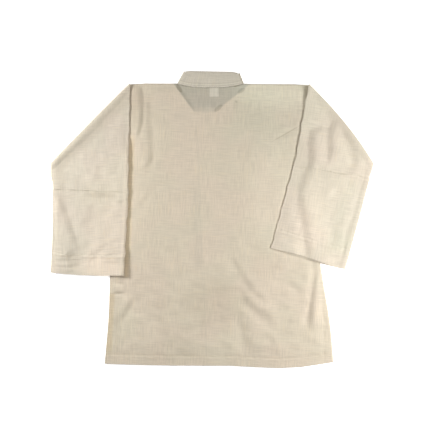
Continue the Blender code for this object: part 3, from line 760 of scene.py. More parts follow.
def sleeve_height(side, f, g, on_top):
    """The folded sleeve lies on the back and drops to the table outside it."""
    style = bpy.context.scene.jacket_folds
    f, g = np.broadcast_arrays(np.asarray(f, dtype=float), np.asarray(g, dtype=float))
    p = sleeve_point(side, f, g)
    section = through(side.sleeve, f)
    width = np.hypot(section[..., 2] - section[..., 0], section[..., 3] - section[..., 1])
    inner, outer = g * width, (1.0 - g) * width
    drop = rise(outside_body(side, p), DROP_START, DROP_END)
    from_fold = np.maximum(0.0, (sleeve_point(side, 0.0, g) - p) @ fold_normal(side))
    settles = FOLD_SETTLES[0] + FOLD_SETTLES[1] * np.sin(math.pi * g)
    roll = 1.0 - smooth((from_fold - FOLD_FLAT) / settles)
    height = mix(ON_BACK_Z, FRONT_Z, drop) + (BACK_Z + 2 * FOLD_ROLL - ON_BACK_Z) * roll
    heights, lifts = np.array(side.lifts).T * 0.001
    lift = np.interp(section[..., 1], heights, lifts)
    lift = lift + side.corner_lift * (1.0 - smooth(from_fold / CORNER_REACH))
    height = height + lift * (1.0 - smooth(inner / LIFT_REACH))
    if not on_top:
        return height
    rim = RIM_WIDTH if side.rim else 0.0
    share = smooth(inner / SLEEVE_EDGE_SETTLES) * smooth((outer - rim) / SLEEVE_EDGE_SETTLES)
    share = share * smooth((from_fold - LOFT_STARTS) / LOFT_SETTLES)
    free = smooth(inner / SLEEVE_FREE) * smooth(outer / SLEEVE_FREE)
    loft = style.sleeve_loft * share + free * creased(p, SLEEVE_CREASES, style.crease_depth)
    loft = loft + share * style.wave_height * waves(p, SLEEVE_WAVES, SEED + side.sign)
    loft = higher(loft, np.zeros_like(loft))
    puff = side.puff * style.fold_puff * roll
    loft = loft + puff * smooth(0.2 + outer / 0.03) * smooth(0.25 + inner / 0.06)
    join = apart(p, sleeve_point(side, JOIN_SECTION, g))
    cuff = apart(p, sleeve_point(side, CUFF_SECTION, g))
    loft = loft + sewn(p, join, JOIN_PUCKER, SEED + 3) * smooth(0.3 + inner / 0.2)
    loft = loft + sewn(p, cuff - CUFF_TURN, CUFF_PUCKER, SEED + 4)
    loft = loft + TURNED_STEP * smooth((CUFF_TURN - cuff) / 0.003) * free
    outer_rim = smooth(outer / 0.003) * (1.0 - smooth((outer - 0.7 * rim) / 0.007)) * (1.0 - roll)
    loft = loft + side.rim * outer_rim + side.inner_rim * bump(inner - 0.003, 0.003) * smooth(f)
    loft = loft + CUFF_OPEN * np.sin(math.pi * g) * (1.0 - smooth(cuff / 0.05))
    return height + LAYER + loft


# Grids of points

def at(p, z):
    """Flat places with their heights."""
    return np.concatenate((p, np.broadcast_to(np.asarray(z)[..., None], p.shape[:-1] + (1,))), axis=-1)


def unfolded(side, p):
    """Where a place on the folded sleeve lies in the cut cloth: its mirror image across the fold."""
    normal = fold_normal(side)
    start = sleeve_point(side, 0.0, 0.0)
    return p + ((FOLD_LENGTH - 2.0 * ((p - start) @ normal))[..., None]) * normal


def sleeve_block(side, g, steps, on_top):
    """Points from the join to the fold."""
    steps = steps[::-1]
    p = sleeve_point(side, steps[None, :], g)
    return at(p, sleeve_height(side, steps[None, :], g, on_top)), unfolded(side, p)


def fold_block(side, g, on_top):
    """Half a turn round the fold, from the flipped wall down to the wall below."""
    normal = fold_normal(side)
    p = sleeve_point(side, 0.0, g)
    low = FRONT_Z if on_top else BACK_Z
    high = sleeve_height(side, 0.0, g, on_top)
    turn = math.pi * np.arange(1, FOLD_STEPS) / FOLD_STEPS
    radius = (high - low) / 2
    reach = FOLD_ROLL + LAYER if on_top else FOLD_ROLL
    q = p + (reach * np.sin(turn))[..., None] * normal
    z = low + radius * (1.0 + np.cos(turn))
    return at(q, z), p + (FOLD_LENGTH * (1.0 - turn / math.pi))[..., None] * normal


def root_block(side, g, boundary, height):
    """The part of a body panel that runs out under the folded sleeve."""
    t = np.arange(ROOT_STEPS) / ROOT_STEPS
    fold = sleeve_point(side, 0.0, g)
    bend = underarm(side, t) - mix(sleeve_point(side, 0.0, 1.0), armpit(side), t[:, None])
    p = mix(fold, boundary[:, None, :], t[None, :, None]) + bend * (g * g)[..., None]
    return at(p, height(p)), p


def panel(neck_y, height, on_top, columns, sleeve_steps, line_steps):
    """A whole panel: sleeve, fold, root, body, root, fold, sleeve, and then the body below.

    Gives the points, with none beside the lower body, and their places in the cut cloth.
    """
    g = G_STEPS[:, None]
    lines = lower_lines(line_steps, columns)
    flat = mix(top_points(neck_y, columns)[None], lines[0][None], g[..., None])
    body = (at(flat, height(flat)), flat)
    blocks = []
    for side, edge in ((LEFT, flat[:, 0]), (RIGHT, flat[:, -1])):
        blocks.append((
            sleeve_block(side, g, sleeve_steps, on_top),
            fold_block(side, g, on_top),
            root_block(side, g, edge, height),
        ))
    left = [np.concatenate(parts, axis=1) for parts in zip(*blocks[0])]
    right = [np.concatenate(parts, axis=1)[:, ::-1] for parts in zip(*blocks[1])]
    upper = [np.concatenate(parts, axis=1) for parts in zip(left, body, right)]
    below = (at(lines[1:], height(lines[1:])), lines[1:])
    count = left[0].shape[1]
    grids = []
    for over, under in zip(upper, below):
        grid = np.full((len(over) + len(under),) + over.shape[1:], np.nan)
        grid[: len(over)] = over
        grid[len(over) :, count : count + under.shape[1]] = under
        grids.append(grid)
    return grids[0], grids[1], count


def cuff_steps(side, g):
    """How far the cuff's upper wall stops short of its lower wall."""
    return side.cuff_step * smooth(g / 0.3) * smooth((0.9 - g) / 0.4)


def section_length(side, g, share):
    """How long the sleeve's last section is, measured over its last share."""
    end, before = sleeve_point(side, CUFF_SECTION, g), sleeve_point(side, CUFF_SECTION - share, g)
    return apart(end, before) / share


def tube_grid(side):
    """Rings round the flattened lower sleeve, from the join to the cuff."""
    f, g = TUBE_STEPS[:, None], G_STEPS[None, :]
    p = sleeve_point(side, f, g)
    low = at(p, sleeve_height(side, f, g, False))
    short = cuff_steps(side, g) / section_length(side, g, 0.1)
    back = f - short * rise(f, PART_SECTION, CUFF_SECTION)
    high = at(sleeve_point(side, back, g), sleeve_height(side, back, g, True))
    for end in (0, -1):
        high[:, end, 2] = low[:, end, 2] + 2 * EDGE_ROLL
    cloth = unfolded(side, p)
    over = edge_arc(low, high, -1)
    under = edge_arc(high, low, 0)
    points = np.concatenate((low, over, high[:, ::-1], under), axis=1)
    sides = [np.repeat(cloth[:, end : end + 1 or None], EDGE_STEPS - 1, axis=1) for end in (-1, 0)]
    return points, np.concatenate((cloth, sides[0], cloth[:, ::-1], sides[1]), axis=1)


def edge_arc(start, end, index):
    """Half a turn round the sleeve's edge, from one wall to the other."""
    inward = start[:, 1] if index == 0 else start[:, -2]
    outward = (start[:, index] - inward) * (1.0, 1.0, 0.0)
    outward = outward / np.linalg.norm(outward, axis=-1, keepdims=True)
    turn = (math.pi * np.arange(1, EDGE_STEPS) / EDGE_STEPS)[None, :, None]
    middle = ((start[:, index] + end[:, index]) / 2)[:, None]
    half = ((start[:, index] - end[:, index]) / 2)[:, None]
    return middle + half * np.cos(turn) + outward[:, None] * EDGE_ROLL * np.sin(turn)


def collar_front(sign):
    """Along one front neckline, from the neck point to the opening."""
    first = COLLAR_COLUMNS.side_left
    opening = first + COLLAR_COLUMNS.neck_left + COLLAR_COLUMNS.underlap
    last = opening + COLLAR_COLUMNS.neck_right
    points = top_points(front_neck_y, COLLAR_COLUMNS)
    if sign < 0:
        points, corner = points[first : opening + 1], COLLAR_TOP_LEFT
    else:
        points, corner = points[opening : last + 1][::-1].copy(), COLLAR_TOP_RIGHT
    back_step = points[-2] - points[-1]
    points[-1] += back_step * (COLLAR_OPENING / 2 / abs(back_step[0]))
    start, end = points[0], points[-1]
    across = (points[:, 0] - start[0]) / (end[0] - start[0])
    down = (points[:, 1] - start[1]) / (end[1] - start[1])
    free = np.stack((
        mix(corner[0], end[0], across),
        mix(corner[1], end[1] + COLLAR_FRONT_HEIGHT, down),
    ), axis=-1)
    along = np.gradient(points, axis=0)
    clear = np.stack((-along[:, 1], along[:, 0]), axis=-1) * -sign
    clear = clear / np.linalg.norm(clear, axis=-1, keepdims=True)
    rows = np.linspace(0.0, 1.0, COLLAR_ROWS)[None, :, None]
    flat = mix((points + clear * 1.5 * SEAM_GAP)[:, None], free[:, None], rows)
    return at(flat, np.full(flat.shape[:-1], COLLAR_FRONT_Z))


def collar_back():
    """Across the back neck, from left to right, a little fuller in the middle of its height."""
    first = COLLAR_COLUMNS.side_left
    last = first + sum(COLLAR_COLUMNS[1:4])
    seam = top_points(back_neck_y, COLLAR_COLUMNS)[first : last + 1]
    t = (seam[:, 0] - seam[0, 0]) / (seam[-1, 0] - seam[0, 0])
    to_end = np.minimum(t, 1.0 - t)[:, None]
    free = mix(np.array(COLLAR_TOP_LEFT), np.array(COLLAR_TOP_RIGHT), t[:, None])
    free[:, 1] += mix(*COLLAR_TOP_BOW, t) * smooth(t / 0.10) * smooth((1.0 - t) / 0.14)
    free[:, 1] -= COLLAR_CORNER_DIP * (bump(t, 0.022) + bump(1.0 - t, 0.022))
    up = np.linspace(0.0, 1.0, COLLAR_ROWS)[None, :]
    flat = mix((seam + (0.0, SEAM_GAP))[:, None], free[:, None], up[..., None])
    from_seam = up * apart(free, seam)[:, None]
    full = COLLAR_FULL * np.sin(math.pi * up) * smooth(to_end / 0.08)
    waved = COLLAR_WAVE * waves(flat, COLLAR_WAVES, SEED + 6) * np.sin(math.pi * up)
    folds = COLLAR_FOLDS * np.sin(from_seam / 0.0009 + 5.0 * t[:, None]) * bump(from_seam - 0.011, 0.007)
    pressed = COLLAR_PRESS * (bump(from_seam - COLLAR_STITCH, 0.0024) + bump(1.0 - up, 0.06))
    return at(flat, COLLAR_BACK_Z + (full + waved + folds - pressed) * smooth(to_end / 0.06))


def collar_turn(front, back, sign):
    """Half a turn at the neck point, from the front band up to the back band."""
    along = front[-1] - front[0]
    outward = np.array((-along[1], along[0], 0.0)) * -sign / np.hypot(along[0], along[1])
    turn = (math.pi * np.arange(1, COLLAR_STEPS) / COLLAR_STEPS)[:, None, None]
    return mix(front, back, (1 - np.cos(turn)) / 2) + outward * COLLAR_ROLL * np.sin(turn)


def collar_grid():
    left, back, right = collar_front(-1), collar_back(), collar_front(1)
    points = np.concatenate((
        left[::-1],
        collar_turn(left[0], back[0], -1),
        back,
        collar_turn(right[0], back[-1], 1)[::-1],
        right,
    ))
    along = distances_along(points[:, 0])[:, None]
    up = apart(points, points[:, :1])
    return points, np.stack(np.broadcast_arrays(along, up), axis=-1)


# Meshes

def grid_faces(used, ring):
    """Four corners of each cell whose points are all there."""
    index = np.full(used.shape, -1)
    index[used] = np.arange(used.sum())
    here = index if ring else index[:, :-1]
    beside = np.roll(index, -1, axis=1) if ring else index[:, 1:]
    faces = np.stack((here[:-1], here[1:], beside[1:], beside[:-1]), axis=-1).reshape(-1, 4)
    return faces[(faces >= 0).all(axis=1)]


def grid_area(points, ring=False):
    used = ~np.isnan(points[..., 0])
    corners = points[used][grid_faces(used, ring)]
    across = corners[:, 2] - corners[:, 0]
    other = corners[:, 3] - corners[:, 1]
    return 0.5 * np.linalg.norm(np.cross(across, other), axis=-1).sum()


def add_mesh(name, vertices, faces, material, node):
    """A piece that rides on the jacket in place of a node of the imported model."""
    mesh = bpy.data.meshes.new(name)
    mesh.from_pydata(vertices.tolist(), [], faces)
    mesh.shade_smooth()
    mesh.materials.append(material)
    piece = bpy.data.objects.new(name, mesh)
    bpy.context.scene.collection.objects.link(piece)
    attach(piece, "root")
    if node:
        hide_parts(node)
    return piece


def add_sheet(name, points, cloth, wall, material, node, ring=False, doubled=None, seam=None):
    """A grid of points thickened to both sides, more where the cloth is doubled, with its seams and the
    painted shade along them marked.
    """
    used = ~np.isnan(points[..., 0])
    piece = add_mesh(name, points[used], grid_faces(used, ring).tolist(), material, node)
    placed = piece.data.attributes.new("cloth", "FLOAT_VECTOR", "POINT")
    flat = cloth[used]
    x = flat[:, 0] * LEVEL - flat[:, 1] * LEAN
    y = flat[:, 0] * LEAN + flat[:, 1] * LEVEL
    placed.data.foreach_set("vector", np.stack((x, y, 0 * x), axis=-1).ravel())
    if seam is not None:
        marked = piece.data.attributes.new("seam", "FLOAT", "POINT")
        marked.data.foreach_set("value", seam[used].ravel())
    thick = piece.modifiers.new("wall", "SOLIDIFY")
    thick.offset = 0.0
    thick.thickness = wall
    if doubled is not None:
        style = bpy.context.scene.jacket_cloth
        thick.thickness = style.hem_wall
        group = piece.vertex_groups.new(name="wall")
        weights = mix(wall / style.hem_wall, 1.0, doubled[used])
        for level in np.unique(np.round(weights, 2)):
            group.add(np.flatnonzero(np.round(weights, 2) == level).tolist(), float(level), "REPLACE")
        thick.vertex_group = "wall"
    return piece


def turned_body(points):
    """1 where the hem and the vents' edges are doubled."""
    p = np.nan_to_num(points[..., :2])
    turned = smooth((HEM_TURN - above_hem(p)) / 0.002)
    for below_top, inside in vents(p):
        turned = np.maximum(turned, smooth(below_top / 0.004) * smooth(-inside / 0.002))
    return np.where(p[..., 1] < 0.0, turned, 0.0)


def body_seams(points):
    """How near each point is to the sewing lines of the hem and the vents."""
    p = np.nan_to_num(points[..., :2])
    marks = HEM_SEAM * bump(above_hem(p) - HEM_TURN, SEAM_WIDTH)
    for (below_top, inside), share in zip(vents(p), VENT_SEAMS):
        marks = np.maximum(marks, share * smooth(below_top / 0.004) * bump(inside, SEAM_WIDTH))
    return np.where(p[..., 1] < -0.1, marks, 0.0)


def sleeve_seams(side, points):
    """How near each point is to the joining seam and to the cuff's sewing line, which fade in and out."""
    p = np.nan_to_num(points[..., :2])
    join, along, _ = to_path(p, join_line(side))
    cuff = to_path(p, cuff_line(side))[0]
    uneven = 0.7 + 0.3 * np.sin(along * 90.0 + 2.0 * side.sign)
    join_share, cuff_share = side.seams
    marks = np.maximum(join_share * bump(join, 1.3 * SEAM_WIDTH), cuff_share * bump(cuff, SEAM_WIDTH))
    return uneven * marks


def join_line(side):
    return sleeve_point(side, JOIN_SECTION, np.linspace(0.0, 1.0, 33))


def cuff_seam_at(side, g):
    """The section at which the cuff's sewing line lies."""
    return CUFF_SECTION - CUFF_TURN / section_length(side, g, 1.0)


def cuff_line(side):
    g = np.linspace(0.0, 1.0, 33)
    return sleeve_point(side, cuff_seam_at(side, g), g)


def sweep(path, half_width, half_height, sides=10, closed=False):
    """A flattened tube along points, level with the table: vertices and faces."""
    path = np.asarray(path, dtype=float)
    if closed:
        along = np.roll(path, -1, axis=0) - np.roll(path, 1, axis=0)
    else:
        along = np.gradient(path, axis=0)
    across = np.stack((-along[:, 1], along[:, 0], 0 * along[:, 0]), axis=-1)
    across = across / np.maximum(1e-9, np.linalg.norm(across, axis=-1, keepdims=True))
    turn = 2.0 * math.pi * np.arange(sides) / sides
    half_width = np.broadcast_to(half_width, (len(path),))[:, None, None]
    half_height = np.broadcast_to(half_height, (len(path),))[:, None, None]
    rings = path[:, None] + across[:, None] * np.cos(turn)[None, :, None] * half_width
    rings = rings + np.array((0.0, 0.0, 1.0)) * np.sin(turn)[None, :, None] * half_height
    index = np.arange(len(path) * sides).reshape(-1, sides)
    ahead = np.roll(index, -1, axis=0) if closed else index[1:]
    here = index if closed else index[:-1]
    faces = np.stack((here, np.roll(here, -1, 1), np.roll(ahead, -1, 1), ahead), axis=-1).reshape(-1, 4)
    faces = faces.tolist()
    if not closed:
        faces += [index[0][::-1].tolist(), index[-1].tolist()]
    return rings.reshape(-1, 3), faces


def joined(parts):
    """Several sets of vertices and faces as one."""
    vertices, faces, start = [], [], 0
    for points, cells in parts:
        vertices.append(points)
        faces += [[n + start for n in cell] for cell in cells]
        start += len(points)
    return np.concatenate(vertices), faces


def stitches(line):
    """One row of short sewn stitches along a line of points."""
    style = bpy.context.scene.jacket_thread
    lengths = distances_along(line)
    count = int(lengths[-1] / style.pitch)
    stations = np.array((0.0, 0.12, 0.5, 0.88, 1.0))
    starts = (np.arange(count) + 0.15) * lengths[-1] / count
    places = starts[:, None] + stations[None, :] * style.length
    path = np.stack([np.interp(places, lengths, line[:, n]) for n in range(3)], axis=-1)
    path[..., 2] += np.array((-1.2, 0.1, 0.5, 0.1, -1.2)) * style.thickness / 2
    size = np.array((0.5, 0.9, 1.0, 0.9, 0.5)) * style.thickness / 2
    return [sweep(points, size, size, sides=6) for points in path]


def frog_parts():
    """Two bars of doubled cord that end in loops, and a flat knot between them."""
    turn = np.linspace(-0.5 * math.pi, 0.5 * math.pi, 9)
    run = np.linspace(*FROG_BAR, 12)
    end = np.stack((FROG_BAR[1] + FROG_PAIR * np.cos(turn), FROG_PAIR * np.sin(turn)), axis=-1)
    low = np.stack((run, np.full(12, -FROG_PAIR)), axis=-1)[:-1]
    high = np.stack((run[::-1], np.full(12, FROG_PAIR)), axis=-1)[1:]
    bar = np.concatenate((low, end, high))
    parts = [sweep(at(bar * (sign, 1.0), np.zeros(len(bar))), *FROG_CORD) for sign in (-1, 1)]
    turn = np.linspace(0.0, 4.0 * math.pi, 97)[:-1]
    reach = KNOT_REACH[0] + KNOT_REACH[1] * np.cos(1.5 * turn)
    knot = np.stack((reach * np.cos(turn), reach * np.sin(turn), KNOT_RISE * np.sin(1.5 * turn)), axis=-1)
    return parts + [sweep(knot, *KNOT_CORD, closed=True)]


# Materials

class Value:
    """A shader socket that Python's operators work on."""

    def __init__(self, nodes, socket):
        self.nodes = nodes
        self.socket = socket

    def math(self, operation, *others):
        values = {n: value for n, value in enumerate((self, *others))}
        return self.nodes.add("ShaderNodeMath", {"operation": operation}, values)

    def __add__(self, other):
        return self.math("ADD", other)

    __radd__ = __add__

    def __sub__(self, other):
        return self.math("SUBTRACT", other)

    def __rsub__(self, other):
        return self.nodes.add("ShaderNodeMath", {"operation": "SUBTRACT"}, {0: other, 1: self})

    def __mul__(self, other):
        return self.math("MULTIPLY", other)

    __rmul__ = __mul__

    def __truediv__(self, other):
        return self.math("DIVIDE", other)


class Nodes:
    """A material's nodes, with one method that adds any of them."""

    def __init__(self, name):
        self.material = bpy.data.materials.new(name)
        self.material.use_nodes = True
        self.tree = self.material.node_tree
        self.shader = self.tree.nodes["Principled BSDF"]

    def add(self, kind, settings=None, values=None, output=0):
        node = self.tree.nodes.new(kind)
        for name, value in (settings or {}).items():
            setattr(node, name, value)
        for name, value in (values or {}).items():
            self.feed(node.inputs[name], value)
        return Value(self, node.outputs[output])

    def feed(self, socket, value):
        if isinstance(value, Value):
            self.tree.links.new(value.socket, socket)
        else:
            socket.default_value = value

    def shade(self, **values):
        """Feeds the shader's sockets, whose names have spaces for the underscores."""
        for name, value in values.items():
            self.feed(self.shader.inputs[name.replace("_", " ")], value)
        return self.material

    def blend(self, a, b, factor, way="MIX"):
        """A Mix node for colours, whose sockets of that kind are found by number."""
        settings = {"data_type": "RGBA", "blend_type": way}
        return self.add("ShaderNodeMix", settings, {0: factor, 6: a, 7: b}, 2)

    def step(self, value, start, end):
        """0 before start and 1 past end, with a soft change between them."""
        values = {0: value, 1: start, 2: end}
        return self.add("ShaderNodeMapRange", {"interpolation_type": "SMOOTHSTEP"}, values)

    def split(self, vector):
        parts = self.tree.nodes.new("ShaderNodeSeparateXYZ")
        self.feed(parts.inputs[0], vector)
        return [Value(self, output) for output in parts.outputs]

    def attribute(self, name, output):
        return self.add("ShaderNodeAttribute", {"attribute_name": name}, output=output)

    def place(self):
        """Where the shaded point lies on the object: to the right, and up the jacket."""
        x, y, _ = self.split(self.add("ShaderNodeTexCoord", output="Object"))
        return x, y

    def stretched(self, vector, x, y, detail=2.0, shift=0.0):
        """Noise drawn out along one direction of the cloth."""
        settings = {"operation": "MULTIPLY_ADD"}
        values = {0: vector, 1: (x, y, 1.0), 2: (shift, shift, shift)}
        place = self.add("ShaderNodeVectorMath", settings, values)
        return self.add("ShaderNodeTexNoise", values={"Vector": place, "Scale": 1.0, "Detail": detail})


def opaque(channels):
    return (*channels, 1.0)


def weave(nodes, vector):
    """Uneven yarns both ways: how light they are, their height, and a slow drift over the cloth."""
    style = bpy.context.scene.jacket_cloth
    short, long = style.yarn_density, 1.0 / style.slub_length
    weft = nodes.stretched(vector, long, short)
    warp = nodes.stretched(vector, short, long, shift=7.0)
    thick_weft = nodes.step(nodes.stretched(vector, long * 0.8, short * 0.55, shift=13.0), 0.56, 0.70)
    thick_warp = nodes.step(nodes.stretched(vector, short * 0.55, long * 0.8, shift=19.0), 0.56, 0.70)
    drift = nodes.stretched(vector, 16.0, 16.0, detail=1.0, shift=3.0)
    side = nodes.step(drift, 0.38, 0.62)
    yarn = weft * (0.35 + 0.3 * side) + warp * (0.65 - 0.3 * side)
    slub = thick_weft * side + thick_warp * (1.0 - side)
    x, y, _ = nodes.split(vector)
    pitch = 2.0 * math.pi / style.thread_pitch
    fine = (x * pitch).math("SINE") * (y * pitch).math("SINE")
    return yarn, slub, drift, fine


def cloth_material(name, cream, grey, marks):
    """Slubby plain weave, tinted along its seams, partly as painted shade in their grooves and along the
    cuffs' edges, and where marks says.
    """
    style = bpy.context.scene.jacket_cloth
    nodes = Nodes(name)
    vector = nodes.attribute("cloth", "Vector")
    yarn, slub, drift, fine = weave(nodes, vector)
    light = opaque(min(1.0, channel * (1.0 + style.yarn_contrast)) for channel in cream)
    dark = opaque(channel * (1.0 - style.yarn_contrast) for channel in cream)
    warm = (light[0] * 1.02, light[1] * 0.995, light[2] * 0.93, 1.0)
    colour = nodes.blend(dark, light, nodes.step(yarn, 0.36, 0.64))
    colour = nodes.blend(colour, warm, slub * 0.55)
    colour = nodes.blend(colour, opaque(grey), nodes.step(drift, 0.45, 0.75) * 0.35)
    hue = nodes.step(nodes.stretched(vector, 9.0, 9.0, detail=1.0, shift=31.0), 0.40, 0.60)
    drifted = nodes.blend(opaque(style.warm_drift), opaque(style.cool_drift), hue)
    colour = nodes.blend(colour, drifted, 1.0, "MULTIPLY")
    # The seam attribute darkens the sewing lines, partly as painted shade in their grooves, and carries the
    # painted shade along the cuffs' edges
    seams = nodes.attribute("seam", "Fac") * style.seam_and_shade_share
    for tint, mask in ((style.seam_and_shade_tone, seams), *marks(nodes)):
        colour = nodes.blend(colour, opaque(tint), mask, "MULTIPLY")
    height = yarn * 0.7 + slub * 0.5 + fine * 0.16
    relief = {"Strength": 1.0, "Distance": style.yarn_relief, "Height": height}
    return nodes.shade(
        Base_Color=colour,
        Roughness=0.95 - 0.12 * slub,
        Normal=nodes.add("ShaderNodeBump", values=relief),
        Specular_IOR_Level=0.25,
        Sheen_Weight=style.sheen,
        Sheen_Roughness=0.5,
    )


def back_marks(nodes):
    """What lies under the back and tints it, and the painted light and shade on the back."""
    x, y = nodes.place()
    return (
        *side_marks(nodes, x, y),
        *neck_marks(nodes, x, y),
        *underlap_marks(nodes, x, y),
        *tones(nodes, x, y, BACK_PAINTED_LIGHT_AND_SHADE, SOFT_EDGE),
    )


def side_marks(nodes, x, y):
    """Painted warm bounce light in the shadow that the left sleeve casts beside it, and the doubled edge of
    the left vent.
    """
    style = bpy.context.scene.jacket_marks
    beside = right_of(x, y, SLEEVE_LEFT[1], SLEEVE_LEFT[CUFF_SECTION])
    # Painted warm bounce light over the shadow beside the left sleeve's inner edge
    shadow_strip = bell(nodes, beside - 0.007, 0.0085) * nodes.step(y, 0.240, 0.190) * nodes.step(y, -0.158, -0.146)
    within = right_of(x, y, BODY[1], BODY[3])
    vent = nodes.step(within, 0.0200, 0.0120) * nodes.step(y, -0.188, -0.200) * nodes.step(y, -0.365, -0.330)
    return (style.shadow_warmth_tint, shadow_strip), (style.vent_tint, vent)


def neck_marks(nodes, x, y):
    """The neck opening, its rim on the left, the label, and the collar's corners and ends."""
    style = bpy.context.scene.jacket_marks
    left = (OPENING_LOW_X[0] - x).math("MAXIMUM", 0.0) * OPENING_SLOPES[0]
    right = (x - OPENING_LOW_X[1]).math("MAXIMUM", 0.0) * OPENING_SLOPES[1]
    over = y - OPENING_LOW_Y - left - right
    opening = nodes.step(over, -0.0040, 0.0045)
    upper = opening * nodes.step(y, 0.286, 0.302)
    rim = opening * nodes.step(over, 0.022, 0.006) * nodes.step(x, -0.036, -0.056)
    inner = patch(nodes, x - 0.061, y - 0.322, 0.009, 0.004, 1.0, FIRM_EDGE) * opening
    label = span(nodes, x, LABEL_AT[0], LABEL_SIZE[0]) * span(nodes, y, LABEL_AT[1], LABEL_SIZE[1])
    return (
        (style.opening_tint, opening * 0.55),
        (style.opening_tint, upper * 0.5),
        (style.tab_tint, rim * 0.45),
        (style.tab_tint, inner * 0.35),
        (style.label_tint, label),
        *tones(nodes, x, y, NAPE_TONES, FIRM_EDGE),
    )


def underlap_marks(nodes, x, y):
    """The underlap's edge and a broad band beside it, down the back."""
    style = bpy.context.scene.jacket_marks
    past = right_of(x, y, (OPENING_TOP_X, OPENING_TOP_Y), (OPENING_HEM_X, HEM_Y)) + UNDERLAP
    edge = bell(nodes, past + 0.001, 0.0030) * nodes.step(y, 0.27, 0.24)
    band = bell(nodes, past + 0.012, 0.011) * nodes.step(y, 0.11, 0.06) * nodes.step(y, -0.15, -0.11)
    return (style.opening_tint, edge * 0.14), (style.opening_tint, band * 0.22)


def sleeve_marks(nodes):
    """Painted shade along the rolled edges of the left sleeve, and the sleeves' painted light and shade."""
    style = bpy.context.scene.jacket_marks
    x, y = nodes.place()
    top = SLEEVE_LEFT[0]
    fold = math.hypot(top[0] - top[2], top[1] - top[3])
    off_fold = (x - top[0]) * ((top[1] - top[3]) / fold) - (y - top[1]) * ((top[0] - top[2]) / fold)
    inside = off_fold.math("MINIMUM", x - top[2])
    # Painted shade in a band inside the left sleeve's fold
    roll = bell(nodes, inside - 0.026, 0.014) * nodes.step(y, -0.070, 0.060)
    # Painted shade over the outer part of the left sleeve, near its rolled outer edges
    outer = nodes.step(inside, 0.135, 0.060) * nodes.step(inside, 0.004, 0.022)
    outer = outer * nodes.step(y, 0.340, 0.200)
    elbow, cuff = SLEEVE_LEFT[JOIN_SECTION], SLEEVE_LEFT[CUFF_SECTION]
    off_inner = right_of(x, y.math("MINIMUM", elbow[1]), elbow, cuff)
    # Painted shade along the roll of the left sleeve's inner edge
    inner_roll_shade = bell(nodes, off_inner, 0.0055) * nodes.step(y, 0.225, 0.190)
    return (
        (style.outer_painted_shade_tint, outer),
        (style.roll_painted_shade_tint, roll),
        (style.warm_shade_tint, inner_roll_shade * 0.85),
        *tones(nodes, x, y, SLEEVE_PAINTED_LIGHT_SHADE_AND_SEAM, SOFT_EDGE),
    )


def collar_marks(nodes):
    """Dark lines along the pressed seam at the collar's lower edge, partly painted shade of its ripples, and
    a painted highlight line between them.
    """
    style = bpy.context.scene.jacket_marks
    x, y, _ = nodes.split(nodes.attribute("cloth", "Vector"))
    up = y * LEVEL - x * LEAN
    return (
        (style.tab_tint, bell(nodes, up - 0.0103, 0.0012) * 0.7),
        (style.cool_light_tint, bell(nodes, up - 0.0066, 0.0013) * 0.5),
        (style.tab_tint, bell(nodes, up - 0.0040, 0.0009) * 0.45),
    )


def tones(nodes, x, y, table, edge):
    """The tint and the mask of each oval in a table."""
    style = bpy.context.scene.jacket_marks
    for tone in table:
        mask = patch(nodes, x - tone.x, y - tone.y, tone.half_long, tone.half_wide, tone.turn, edge)
        yield getattr(style, tone.tint), mask * tone.share


def right_of(x, y, start, end):
    """How far to the right of the line through two places."""
    lean = (end[0] - start[0]) / (end[1] - start[1])
    return x - start[0] - (y - start[1]) * lean


def span(nodes, value, middle, size):
    """1 inside a span and 0 outside, with a millimetre's softness at its ends."""
    return nodes.step((value - middle).math("ABSOLUTE"), size / 2 + 0.001, size / 2 - 0.001)


def bell(nodes, away, width):
    """1 on a line and fading to both sides."""
    return nodes.step(away.math("ABSOLUTE"), width * 1.6, 0.0)


def patch(nodes, x, y, half_long, half_wide, turn, edge):
    """An oval with soft edges, turned by an angle."""
    along = (x * math.cos(turn) + y * math.sin(turn)) / half_long
    aside = (y * math.cos(turn) - x * math.sin(turn)) / half_wide
    return nodes.step(along * along + aside * aside, *edge)


def cord_material(name, tone):
    """Rolled self cloth or thread: fine ribs round it."""
    nodes = Nodes(name)
    place = nodes.add("ShaderNodeTexCoord", output="Object")
    x, y, _ = nodes.split(place)
    ribs = ((x + y * 0.8) * 6000.0).math("SINE")
    noise = nodes.add("ShaderNodeTexNoise", values={"Vector": place, "Scale": 700.0, "Detail": 2.0})
    dark = opaque(channel * 0.86 for channel in tone)
    shade = nodes.blend(dark, opaque(tone), nodes.step(noise, 0.35, 0.65))
    relief = {"Strength": 0.6, "Distance": 0.0002, "Height": ribs * 0.3 + noise}
    normal = nodes.add("ShaderNodeBump", values=relief)
    return nodes.shade(Base_Color=shade, Roughness=0.8 + 0.1 * noise, Normal=normal, Specular_IOR_Level=0.25)


def floor_material(level):
    nodes = Nodes("white_table")
    place = nodes.add("ShaderNodeTexCoord", output="Object")
    grain = nodes.add("ShaderNodeTexNoise", values={"Vector": place, "Scale": 90.0, "Detail": 3.0})
    colour = nodes.blend((0.93, 0.93, 0.93, 1.0), (0.96, 0.96, 0.96, 1.0), grain)
    return nodes.shade(
        Base_Color=colour,
        Roughness=0.9,
        Specular_IOR_Level=0.0,
        Emission_Color=(1.0, 1.0, 1.0, 1.0),
        Emission_Strength=level,
    )


def shared_material(name, make, *values):
    """A material that is made once and shared after that."""
    return bpy.data.materials.get(name) or make(name, *values)


def woven(name):
    """One of the jacket's three cloths."""
    style = bpy.context.scene.jacket_cloth
    cloths = {
        "body_weave": (style.cream, style.grey_cream, back_marks),
        "sleeve_weave": (style.sleeve_cream, style.grey_cream, sleeve_marks),
        "collar_weave": (style.collar_cream, style.collar_grey, collar_marks),
    }
    return shared_material(name, cloth_material, *cloths[name])


# Settings

